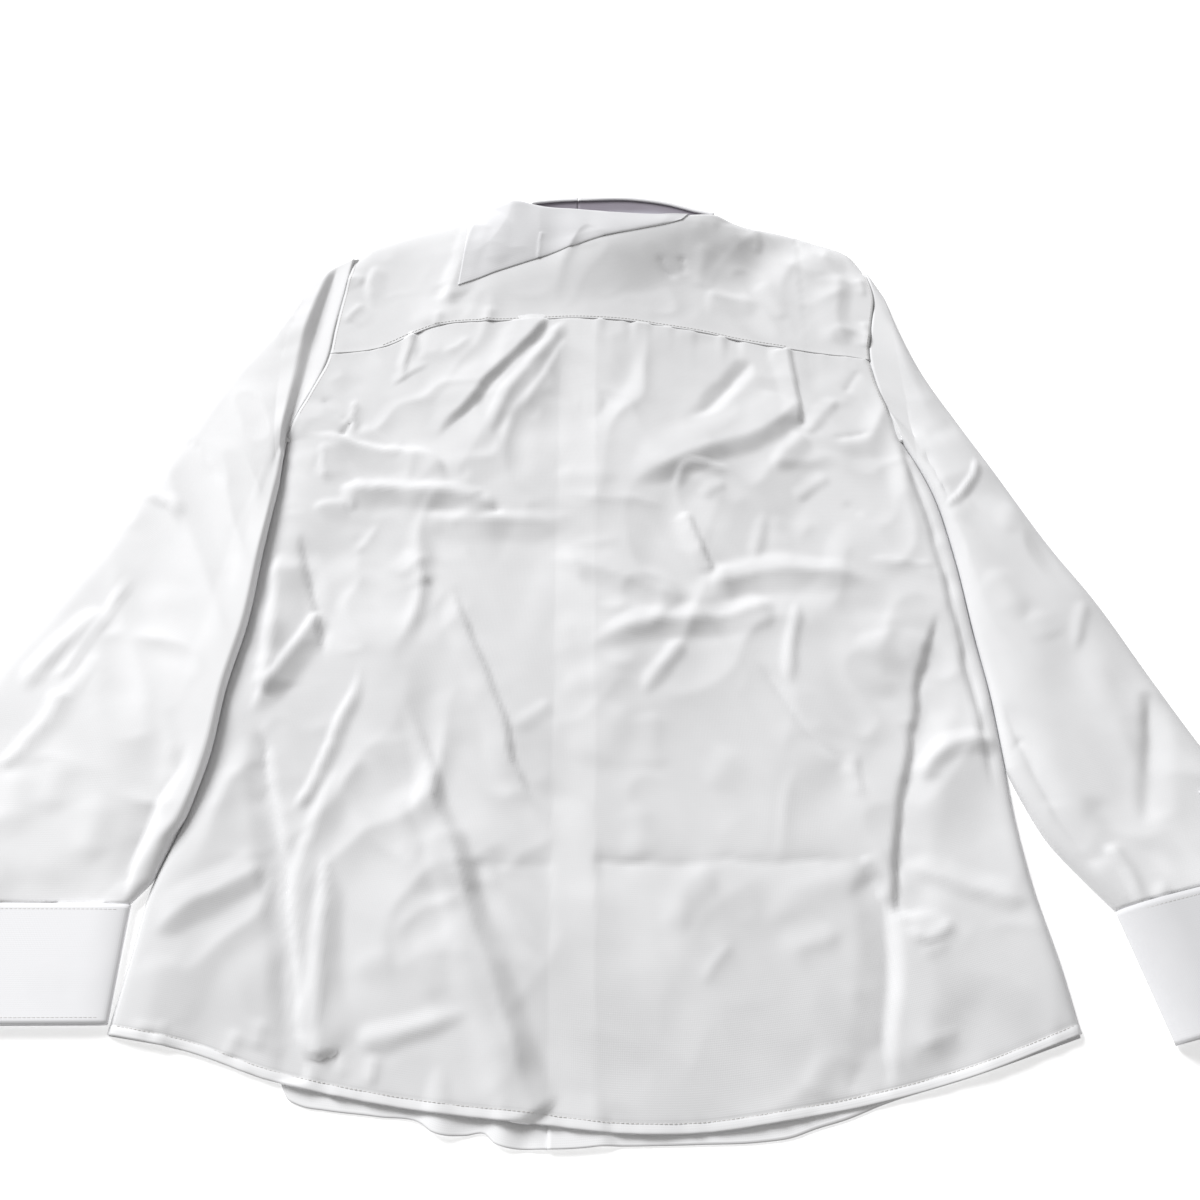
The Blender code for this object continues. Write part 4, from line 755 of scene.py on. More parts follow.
    def draped_under(self, x: Array, y: Array, creases: tuple[Crease, ...]) -> Array:
        """Underside of the back or the yoke with its creases and its unevenness, clear of the fronts.

        Args:
            x: the points' x
            y: the points' y
            creases: the creases of the piece

        Returns:
            The height at each point, in metres.
        """
        puff = self.puff(x, y)
        soft = 0.0016 * uneven(x, y, (0.055, 0.085), 20.0, 3)
        busy = 0.35 + 0.65 * step_up(0.5 + 1.6 * uneven(x, y, (0.110, 0.090), 0.0, 7) + 1.5 * (y - 0.02))
        sharp = 0.00135 * crumpled(x, y, (0.048, 0.085), -32.0, 4)
        sharp = sharp + 0.00060 * crumpled(x, y, (0.026, 0.040), 38.0, 5)
        height = self.back_under(x, y) + puff * (lift_of(creases, x, y) + soft + busy * sharp)
        return np.maximum(height, self.fronts_top(x, y) + self.air)


# ---------------------------------------------------------------------------------------------------
# Meshes


def coons(bottom: Array, top: Array, left: Array, right: Array, across: Array, up: Array) -> Array:
    """Plan points of a panel between its four edges, as rows from the bottom to the top.

    Args:
        bottom: the lower edge's points, at the places across
        top: the upper edge's points, at the places across
        left: the left edge's points, at the places up
        right: the right edge's points, at the places up
        across: places from 0 to 1
        up: places from 0 to 1

    Returns:
        The points, indexed by row and column.
    """
    u = across[None, :, None]
    v = up[:, None, None]
    ruled = (1 - v) * bottom[None] + v * top[None] + (1 - u) * left[:, None] + u * right[:, None]
    corners = (1 - v) * ((1 - u) * bottom[0] + u * bottom[-1]) + v * ((1 - u) * top[0] + u * top[-1])
    return ruled - corners


def dense_ends(count: int, first: list[float], last: list[float]) -> Array:
    """Even places from 0 to 1, with more of them near the two ends.

    Args:
        count: how many even steps there are
        first: extra places after 0
        last: how far before 1 the extra places at that end lie

    Returns:
        The places, in rising order.
    """
    middle = even(count)
    kept = middle[(middle > max(first, default=0.0)) & (middle < 1.0 - max(last, default=0.0))]
    return np.concatenate(([0.0], first, kept, [1.0 - place for place in reversed(last)], [1.0]))


def straight(start: Array, end: Array, places: Array) -> Array:
    """Points on the straight line between two points, at places from 0 to 1."""
    return start + places[:, None] * (end - start)


def make_object(name: str, form: bmesh.types.BMesh, finish: bpy.types.Material) -> bpy.types.Object:
    """An object with a smooth mesh.

    Args:
        name: the object's and its mesh's name
        form: the form that becomes its mesh, and is freed
        finish: its material

    Returns:
        The object, linked into the scene.
    """
    mesh = bpy.data.meshes.new(name)
    form.to_mesh(mesh)
    form.free()
    mesh.materials.append(finish)
    mesh.shade_smooth()
    piece = bpy.data.objects.new(name, mesh)
    bpy.context.scene.collection.objects.link(piece)
    return piece


def settle(piece: bpy.types.Object, slot: str, *nodes: str) -> bpy.types.Object:
    """Let a piece ride on the shirt and stand for its solids.

    Args:
        piece: the piece's object
        slot: not used
        nodes: the nodes of the solids that it stands for

    Returns:
        The piece's object.
    """
    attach(piece, "root")
    if nodes:
        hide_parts(*nodes)
    LOG.info("%s: %d faces", piece.name, len(piece.data.polygons))
    return piece


def shell(node: str, slot: str, grid: Array, thickness: float, finish: bpy.types.Material, layout: Layout,
          closed: bool = False, layers_and_painted_light: Array | None = None) -> bpy.types.Object:
    """A piece of cloth: a grid of points on its underside or inside, thickened on its outer side.

    Args:
        node: the node of the solid that it stands for
        slot: the node's material slot
        grid: points by row and column; rows run towards +Y and columns towards +X on an upper side
        thickness: the cloth's thickness in metres
        finish: its material
        layout: the layout, for the middle that becomes x = y = 0
        closed: whether the last column is joined to the first
        layers_and_painted_light: for each point, how much lighter it shows, from the cloth below it and, on
            some pieces, from painted light and shade

    Returns:
        The piece's object.
    """
    if closed:
        grid = np.concatenate((grid, grid[:, :1]), axis=1)
        layers_and_painted_light = np.concatenate((layers_and_painted_light, layers_and_painted_light[:, :1]), axis=1)
    rows, columns = grid.shape[:2]
    form = bmesh.new()
    bmesh.ops.create_grid(form, x_segments=columns - 1, y_segments=rows - 1, size=0.5)
    piece = make_object(node + "_cloth", form, finish)
    mesh = piece.data
    mesh.vertices.foreach_set("co", layout.centred(grid.reshape(-1, 3)).ravel())
    across = np.linalg.norm(np.diff(grid, axis=1), axis=2).mean(axis=0)
    up = np.linalg.norm(np.diff(grid, axis=0), axis=2).mean(axis=1)
    u = np.tile(np.concatenate(([0.0], np.cumsum(across))), rows)
    v = np.repeat(np.concatenate(([0.0], np.cumsum(up))), columns)
    corners = np.zeros(len(mesh.loops), dtype=int)
    mesh.loops.foreach_get("vertex_index", corners)
    cloth_map = mesh.uv_layers.new(name="cloth")
    cloth_map.data.foreach_set("uv", np.column_stack((u[corners], v[corners])).ravel())
    below = mesh.attributes.new("layers_and_painted_light", "FLOAT", "POINT")
    below.data.foreach_set("value", np.full(rows * columns, ON_CLOTH) if layers_and_painted_light is None else layers_and_painted_light.ravel())
    if closed:
        form = bmesh.new()
        form.from_mesh(mesh)
        bmesh.ops.remove_doubles(form, verts=form.verts[:], dist=0.00001)
        form.to_mesh(mesh)
        form.free()
    thicken = piece.modifiers.new("Cloth", "SOLIDIFY")
    thicken.thickness = thickness
    thicken.offset = 1.0
    thicken.use_even_offset = False
    return settle(piece, slot, node)


def sheer_with_painted_shade(grid: Array) -> Array:
    """How much of what is below shines through; where the cloth stands clear of it, the drop is painted shade
    of the hollow beneath.
    """
    return ON_CLOTH * step_up((0.0150 - grid[..., 2]) / 0.0080)


# ---------------------------------------------------------------------------------------------------
# Finishes


def add_node(tree: bpy.types.NodeTree, kind: str, settings: dict | None = None,
             feeds: dict | None = None) -> bpy.types.Node:
    """Add a shader node.

    Args:
        tree: the material's nodes
        kind: the node's type without its ShaderNode prefix
        settings: values by the name of a property or of an input, or by an input's number
        feeds: sockets to link, by the name or number of the input that they feed

    Returns:
        The node.
    """
    node = tree.nodes.new("ShaderNode" + kind)
    for key, value in (settings or {}).items():
        if isinstance(key, str) and key in node.bl_rna.properties:
            setattr(node, key, value)
        else:
            node.inputs[key].default_value = value
    for key, socket in (feeds or {}).items():
        tree.links.new(socket, node.inputs[key])
    return node


@dataclass(frozen=True)
class Finish:
    """What every finish has: two colours that its pattern blends, its roughness and its other values."""

    name: str
    colour: str
    second: str
    roughness: float
    sockets: Sockets = ()

    def pattern(self, tree: bpy.types.NodeTree, place: bpy.types.Node) -> bpy.types.NodeSocket:
        """Add the pattern's nodes, fed by a coordinate node, and give the value that blends the colours."""
        raise NotImplementedError

    def build(self) -> bpy.types.Material:
        """Make the finish a material.

        Returns:
            The material.
        """
        made = bpy.data.materials.new(self.name)
        made.use_nodes = True
        tree = made.node_tree
        shader = tree.nodes["Principled BSDF"]
        for socket, value in (("Roughness", self.roughness), *self.sockets):
            shader.inputs[socket].default_value = value
        blend = self.pattern(tree, add_node(tree, "TexCoord"))
        colour = add_node(tree, "Mix", {"data_type": "RGBA", 6: linear(self.colour), 7: linear(self.second)},
                          {0: blend})
        tree.links.new(colour.outputs[2], shader.inputs["Base Color"])
        return made


@dataclass(frozen=True)
class Poplin(Finish):
    """Bleached cotton poplin, woven plain: matt and soft, with a fine rib across and slubs in its yarn.

    Its threads are about 0.25 mm apart, too fine to show, so the ribs are drawn rib_mm apart. It is lighter
    where more cloth lies below it, and some pieces carry painted light and shade in the same value.
    """

    name: str = "poplin"
    colour: str = "#D3D3D4"
    second: str = "#F1F1F2"
    roughness: float = 0.88
    sockets: Sockets = (("Sheen Weight", 0.15), ("Sheen Roughness", 0.5), ("Specular IOR Level", 0.25))
    rib_mm: float = 1.3
    relief: float = 0.00008

    def pattern(self, tree: bpy.types.NodeTree, place: bpy.types.Node) -> bpy.types.NodeSocket:
        """The weave's relief, and how much the cloth below and soft clouds lighten the cloth, with the
        painted light and shade that some pieces carry.

        Args:
            tree: the material's nodes
            place: its coordinate node

        Returns:
            The output that says how much of the lighter colour shows.
        """
        spread = add_node(tree, "Mapping", {"Scale": (1000.0, 1000.0, 1.0)}, {"Vector": place.outputs["UV"]})
        per_mm = math.tau / self.rib_mm / 20.0
        ribs = [add_node(tree, "TexWave", {"bands_direction": way, "Scale": scale, "Distortion": 0.6},
                         {"Vector": spread.outputs[0]}).outputs["Fac"]
                for way, scale in (("Y", per_mm), ("X", per_mm * 1.25))]
        weave = add_node(tree, "Math", {"operation": "MAXIMUM"}, dict(enumerate(ribs)))
        slubs = add_node(tree, "Mapping", {"Scale": (60.0, 900.0, 1.0)}, {"Vector": place.outputs["UV"]})
        thick = add_node(tree, "TexNoise", {"Scale": 1.0, "Detail": 2.0}, {"Vector": slubs.outputs[0]})
        height = add_node(tree, "Math", {"operation": "MULTIPLY_ADD", 1: 0.6},
                          {0: thick.outputs["Fac"], 2: weave.outputs[0]})
        grain = add_node(tree, "Bump", {"Strength": 0.5, "Distance": self.relief},
                         {"Height": height.outputs[0]})
        tree.links.new(grain.outputs[0], tree.nodes["Principled BSDF"].inputs["Normal"])
        # The per-point value holds the cloth below showing through and, on some pieces, painted light and
        # shade.
        below = add_node(tree, "Attribute", {"attribute_name": "layers_and_painted_light"})
        cloudy = add_node(tree, "TexNoise", {"Scale": 14.0, "Detail": 3.0, "Roughness": 0.6},
                          {"Vector": place.outputs["Object"]})
        shade = add_node(tree, "MapRange",
                         {"From Min": 0.3, "From Max": 0.7, "To Min": -0.12, "To Max": 0.12},
                         {"Value": cloudy.outputs["Fac"]})
        return add_node(tree, "Math", {"operation": "ADD", "use_clamp": True},
                        {0: below.outputs["Fac"], 1: shade.outputs[0]}).outputs[0]


@dataclass(frozen=True)
class Speckled(Finish):
    """A finish whose two colours are blended by noise: its scale, detail and distortion."""

    noise: tuple[float, float, float] = (400.0, 2.0, 0.0)

    def pattern(self, tree: bpy.types.NodeTree, place: bpy.types.Node) -> bpy.types.NodeSocket:
        """The noise, in the object's own coordinates."""
        settings = dict(zip(("Scale", "Detail", "Distortion"), self.noise))
        return add_node(tree, "TexNoise", settings, {"Vector": place.outputs["Object"]}).outputs["Fac"]


# Moulded polyester with a mother-of-pearl look: pale and glossy, with soft clouds in it.
PEARL = Speckled("pearl_button", "#E9E7E0", "#D6D8DC", 0.22, (("IOR", 1.56), ("Coat Weight", 0.3)),
                 (260.0, 3.0, 1.2))
# Spun polyester: matt and twisted, and tinted darker than the cloth as painted shade of the needle holes that
# the thread sinks into.
THREAD_PAINTED_SHADE = Speckled("sewing_thread_painted_shade", "#CFCDC9", "#B9B6B2", 0.75, noise=(1800.0, 1.0, 0.0))
# Seamless studio paper: matt white, and lit from below so that it stays white, with faint fibres.
PAPER = Speckled("studio_paper", "#F4F4F4", "#F1F1F1", 0.95,
                 (("Specular IOR Level", 0.1), ("Emission Color", (1.0, 1.0, 1.0, 1.0)),
                  ("Emission Strength", 0.45)))


# ---------------------------------------------------------------------------------------------------
# The body


@dataclass
class CutPiece:
    """What every cut piece has: the layout it lies in and its finish."""

    layout: Layout
    finish: bpy.types.Material


@dataclass
class SidePiece(CutPiece):
    """A cut piece that is there once on each side."""

    side: Side

    def pick(self, left: float, right: float) -> float:
        """One of two values, by the piece's side."""
        return left if self.side is Side.LEFT else right


@dataclass
class Back(CutPiece):
    """The back below the yoke, with its hem, its pleats and the gathers at the yoke's seam."""

    columns: int = 200
    rows: int = 205
    hem_width: float = 0.0062
    turned_in: float = 0.005

    def grid(self) -> Array:
        """Points of the back's underside.

        Returns:
            The points by row and column.
        """
        lay = self.layout
        across = even(self.columns)
        up = dense_ends(self.rows, [0.0020, 0.0045, 0.0085, 0.0100, 0.0115], [0.0018, 0.0040, 0.0060])
        left = lay.outer_edge(Side.LEFT, up, lay.yoke_end)
        right = lay.outer_edge(Side.RIGHT, up, lay.yoke_end)
        top = lay.seam_line(left[-1], right[-1], -0.4 * lay.seam, across)
        bottom = lay.hem_line(lay.back_hem, left[0, 0], right[0, 0], across)
        left[0], right[0] = bottom[0], bottom[-1]
        plan = coons(bottom, top, left, right, across, up)
        x, y = plan[..., 0], plan[..., 1]
        height = lay.draped_under(x, y, BACK_CREASES) + self.hem(x, y - bottom[None, :, 1])
        height += self.gathers(x, top[None, :, 1] - y)
        grid = np.dstack((plan, height))
        low, end = grid[-1].copy(), grid[-1].copy()
        low[:, 2] -= 0.6 * lay.cloth
        end[:, 2] -= lay.cloth + 0.5 * lay.air
        end[:, 1] += self.turned_in
        return np.concatenate((grid, low[None], end[None]))

    def hem(self, x: Array, above: Array) -> Array:
        """The turned hem: a band along the edge, a groove at its stitches, and small ripples.

        Args:
            x: the points' x
            above: how far they are above the hem's edge

        Returns:
            How far each point is lifted, in metres.
        """
        band = step_up((self.hem_width - above) / 0.0012)
        groove = bump((above - self.hem_width) / 0.0010)
        ripple = uneven(x + 0.6 * above, above, (0.0075, 0.05), 0.0, 11) * step_up(1.0 - above / 0.014)
        return 0.0004 * band - 0.0003 * groove + 0.00055 * ripple

    def gathers(self, x: Array, below: Array) -> Array:
        """Puckers where the back is eased into the yoke's seam.

        Args:
            x: the points' x
            below: how far they are below the seam

        Returns:
            How far each point is lifted, in metres.
        """
        eased = step_up((x + 0.020) / 0.030) * step_up((0.160 - x) / 0.030)
        folds = uneven(x, below, (0.0065, 0.040), 4.0, 12)
        return (0.0010 * eased + 0.0003) * folds * np.exp(-below / 0.012)

    def layers_and_painted_light(self, grid: Array) -> Array:
        """How much lighter the placket and the hem below make the back show, with painted shade where it
        stands clear.

        Args:
            grid: the back's points by row and column

        Returns:
            For each point, 0 for its own colour and 1 for the lightest.
        """
        x, y = grid[..., 0], grid[..., 1]
        lay = self.layout
        edge = np.abs(x - lay.placket_x) - lay.placket_width / 2
        placket = 0.24 * step_up(0.5 - edge / 0.003)
        hem = 0.35 * step_up((self.hem_width - (y - grid[:1, :, 1])) / 0.0015 + 0.5)
        # The last term is the cloth below showing through, with painted shade where the back stands clear of
        # it.
        return np.maximum(placket, hem) + sheer_with_painted_shade(grid)

    def build(self) -> None:
        """The back as a sheet of cloth laid on the fronts."""
        grid = self.grid()
        lay = self.layout
        piece = shell("back", "poplin", grid, lay.cloth, self.finish, lay, layers_and_painted_light=self.layers_and_painted_light(grid))


@dataclass
class Yoke(CutPiece):
    """The yoke over the shoulders, which stands up to the neckline under the collar's leaf."""

    columns: int = 168
    rows: int = 46

    def grid(self) -> Array:
        """Points of the yoke's underside.

        Returns:
            The points by row and column.
        """
        lay = self.layout
        up = dense_ends(self.rows, [0.006, 0.013], [])
        left = smooth_curve(lay.armhole_left, lay.yoke_end + (1.0 - lay.yoke_end) * up)
        right = smooth_curve(lay.armhole_right, lay.yoke_end + (1.0 - lay.yoke_end) * up)
        left[0, 1] += 0.4 * lay.seam
        right[0, 1] += 0.4 * lay.seam
        across = even(self.columns)
        bottom = lay.seam_line(left[0], right[0], 0.4 * lay.seam, across)
        third = self.columns // 3
        top = np.vstack((
            smooth_curve(lay.shoulder_left, even(third)),
            smooth_curve(lay.back_neck, even(self.columns - 2 * third))[1:],
            smooth_curve(lay.shoulder_right, even(third))[1:],
        ))
        left[-1], right[-1] = top[0], top[-1]
        plan = coons(bottom, top, left, right, across, up)
        x, y = plan[..., 0], plan[..., 1]
        height = lay.draped_under(x, y, YOKE_CREASES)
        height += 0.00025 * step_up(1.0 - (y - bottom[None, :, 1]) / 0.004)
        return np.dstack((plan, height))

    def build(self) -> None:
        """The yoke as a sheet of cloth laid on the fronts."""
        grid = self.grid()
        lay = self.layout
        # The cloth below showing through, with painted shade where the yoke stands up towards the neck.
        piece = shell("yoke", "poplin", grid, lay.cloth, self.finish, lay, layers_and_painted_light=sheer_with_painted_shade(grid))


@dataclass
class Front(SidePiece):
    """One front, from its hem to the shoulder, with its inner edge past the centre line."""

    columns: int = 112
    rows: int = 130
    below_underarm: float = 19.0 / 26.0

    def places(self, outer_x: float) -> Array:
        """Places across the hem, closer together at the placket.

        Args:
            outer_x: the x of the hem's outer end

        Returns:
            Places from 0 to 1, in the order of rising x.
        """
        lay = self.layout
        near = lay.placket_x + self.pick(-1.0, 1.0) * np.linspace(-lay.stand_overlap, 0.050, 24)
        far = np.linspace(near[-1], outer_x, self.columns - 22)[1:]
        xs = np.concatenate((near, far))
        xs = xs[::-1] if self.side is Side.LEFT else xs
        return (xs - xs[0]) / (xs[-1] - xs[0])

    def top_edge(self, first: tuple, second: tuple, places: Array) -> Array:
        """The upper edge along two curves that meet at a corner, with a point on the corner.

        Args:
            first: the left curve's points
            second: the right curve's points
            places: places from 0 to 1

        Returns:
            The plan points.
        """
        share = (first[-1][0] - first[0][0]) / (second[-1][0] - first[0][0])
        turn = int(np.argmin(np.abs(places - share)))
        along_first = places[: turn + 1] / places[turn]
        along_second = (places[turn:] - places[turn]) / (1.0 - places[turn])
        return np.vstack((smooth_curve(first, along_first), smooth_curve(second, along_second)[1:]))

    def grid(self) -> Array:
        """Points of the front's underside.

        Returns:
            The points by row and column.
        """
        lay = self.layout
        up = dense_ends(self.rows, [0.0015, 0.0035, 0.0055], [])
        share = self.below_underarm
        spots = np.where(up < share, up / share * lay.side_share,
                         lay.side_share + (up - share) / (1.0 - share) * (1.0 - lay.side_share))
        outer = lay.outer_edge(self.side, spots, 1.0)
        places = self.places(outer[0, 0])
        if self.side is Side.LEFT:
            bottom = lay.hem_line(lay.front_hem, outer[0, 0], lay.placket_x + lay.stand_overlap, places)
            top = self.top_edge(lay.shoulder_left, lay.front_neck_left, places)
            outer[0], outer[-1] = bottom[0], top[0]
            left, right = outer, straight(bottom[-1], top[-1], up)
        else:
            bottom = lay.hem_line(lay.front_hem, lay.placket_x - lay.stand_overlap, outer[0, 0], places)
            top = self.top_edge(lay.front_neck_right, lay.shoulder_right, places)
            outer[0], outer[-1] = bottom[-1], top[-1]
            left, right = straight(bottom[0], top[0], up), outer
        plan = coons(bottom, top, left, right, places, up)
        height = lay.front_under(plan[..., 0], plan[..., 1])
        if self.side is Side.RIGHT:
            past = plan[..., 0] - lay.placket_x - lay.stand_overlap - 0.005
            height += (lay.cloth + lay.air) * step_up(1.0 - past / 0.016)
        return np.dstack((plan, height))

    def build(self) -> None:
        """The front as a sheet of cloth that lies on the floor."""
        lay = self.layout
        grid = self.grid()
        # Painted light: the strip of the front's hem that shows below the back is lightened against the shade
        # the back casts on it.
        tone_with_painted_light = ON_CLOTH + 0.64 * step_up((-0.345 - grid[..., 1]) / 0.020)
        piece = shell("front_" + self.side.value, "poplin", grid, lay.cloth, self.finish, lay, layers_and_painted_light=tone_with_painted_light)
        self.pick(0.185, 0.215)


@dataclass
class Placket(CutPiece):
    """The box placket under the left front's edge, over the row of buttons."""

    rows: int = 150

    def build(self) -> None:
        """The placket as a strip of cloth that lies under the fronts."""
        lay = self.layout
        xs = lay.placket_x + lay.placket_width * (even(10) - 0.5)
        low = lay.hem_line(lay.front_hem, xs[0], xs[-1], even(10))[:, 1] + 0.0004
        rows = [np.column_stack((xs, low + place * (lay.placket_top_y - low))) for place in even(self.rows)]
        plan = np.array(rows)
        height = lay.front_under(plan[..., 0], plan[..., 1]) - lay.cloth - lay.air
        piece = shell("placket", "poplin", np.dstack((plan, height)), lay.cloth, self.finish, lay)


# ---------------------------------------------------------------------------------------------------
# Sleeves and cuffs


@dataclass(frozen=True)
class Ring:
    """A ring of a flattened tube, in millimetres: the ends of its left and right edges, and its section.

    height is how high its upper layer stands, left_roll and right_roll over what width each edge rolls
    down to the floor, and bow how far the ring bows away from the body.
    """

    left: Point
    right: Point
    height: float
    left_roll: float
    right_roll: float
    bow: float = 0.0

    def row(self) -> tuple[float, ...]:
        """The ring's numbers in one row, in metres."""
        return mm((*self.left, *self.right, self.height, self.left_roll, self.right_roll, self.bow))[0]


SLEEVE_RINGS = {
    Side.LEFT: (
        Ring((-450, -247.2), (-317.5, -247.6), 4.5, 16, 20),
        Ring((-460, -225), (-299, -224), 6.5, 16, 14),
        Ring((-468, -185), (-286, -188), 8, 17, 5),
        Ring((-464, -120), (-278.5, -142), 9, 20, 3.5),
        Ring((-445.4, -64.8), (-277, -105), 9.2, 24, 3),
        Ring((-415.9, -14.5), (-271.5, -70), 9.4, 24, 3),
        Ring((-395.1, 26.8), (-266.5, -42), 9.5, 24, 3),
        Ring((-371, 74.6), (-264.5, -10), 9.8, 24, 3),
        Ring((-341.3, 137.5), (-262.5, 25), 9.8, 24, 3, 2),
        Ring((-312.1, 197.1), (-261.5, 50), 9.5, 24, 3, 5),
        Ring((-274, 251.1), (-260.8, 72), 8.5, 22, 4, 14),
        Ring((-247, 308), (-261.8, 98), 7, 20, 6, 14),
    ),
    Side.RIGHT: (
        Ring((346.8, -251.7), (454.6, -225.7), 17, 30, 17),
        Ring((327, -228), (456, -202), 15, 32, 17),
        Ring((310.5, -206.2), (450, -176), 12.5, 32, 18),
        Ring((296, -174), (430, -139.4), 11, 30, 21),
        Ring((284.5, -133), (404.7, -85), 10, 40, 24),
        Ring((276, -85), (374.3, -17.1), 9.5, 42, 24),
        Ring((272, -45), (350, 26.8), 9.5, 42, 24),
        Ring((267, 8), (313, 106), 9, 40, 34),
        Ring((262.5, 42), (293, 148), 8.5, 36, 44),
        Ring((257, 75), (269, 202), 7.5, 30, 50),
        Ring((253, 92), (257, 242), 6, 26, 50),
        Ring((250, 109), (248, 282), 4.5, 26, 45),
    ),
}
CUFF_RINGS = {
    Side.LEFT: (
        Ring((-449.5, -325), (-318.2, -324.5), 2.8, 16, 22),
        Ring((-449.8, -247.6), (-317, -248), 4, 16, 22),
    ),
    Side.RIGHT: (
        Ring((369, -337), (475.5, -311), 19, 30, 17),
        Ring((347.2, -252.2), (454.9, -226.2), 17, 30, 17),
    ),
}


def tube_layer(layout: Layout, ring: Array, places: Array, upper: bool, floor: float) -> Array:
    """Points across one layer of a flattened tube.

    Args:
        layout: the layout, for the tube's edges
        ring: a ring's numbers, as Ring.row gives them
        places: places from 0 to 1 from its left to its right edge
        upper: whether it is the upper layer
        floor: height of the lower layer's inside

    Returns:
        The points.
    """
    left, right = np.array(ring[0:2]), np.array(ring[2:4])
    width = np.linalg.norm(right - left)
    across = (right - left) / width
    outward = np.array((across[1], -across[0]))
    plan = left + places[:, None] * (right - left) + ring[7] * np.sin(math.pi * places)[:, None] * outward
    to_left = places * width
    to_right = (1.0 - places) * width
    if upper:
        rise = ring[4] * round_up(to_left / ring[5]) * round_up(to_right / ring[6])
        rise *= 1.0 + 0.16 * step_up((0.010 - ring[6]) / 0.004) * np.clip(1.0 - to_right / 0.028, 0.0, 1.0)
        return np.column_stack((plan, floor + layout.roll + layout.hollow + rise))
    edge = 1.0 - round_up(to_left / 0.008) * round_up(to_right / 0.008)
    return np.column_stack((plan, floor + layout.roll * edge))


def width_of(ring: Array) -> float:
    """How wide a ring is, from its numbers."""
    return math.hypot(ring[2] - ring[0], ring[3] - ring[1])


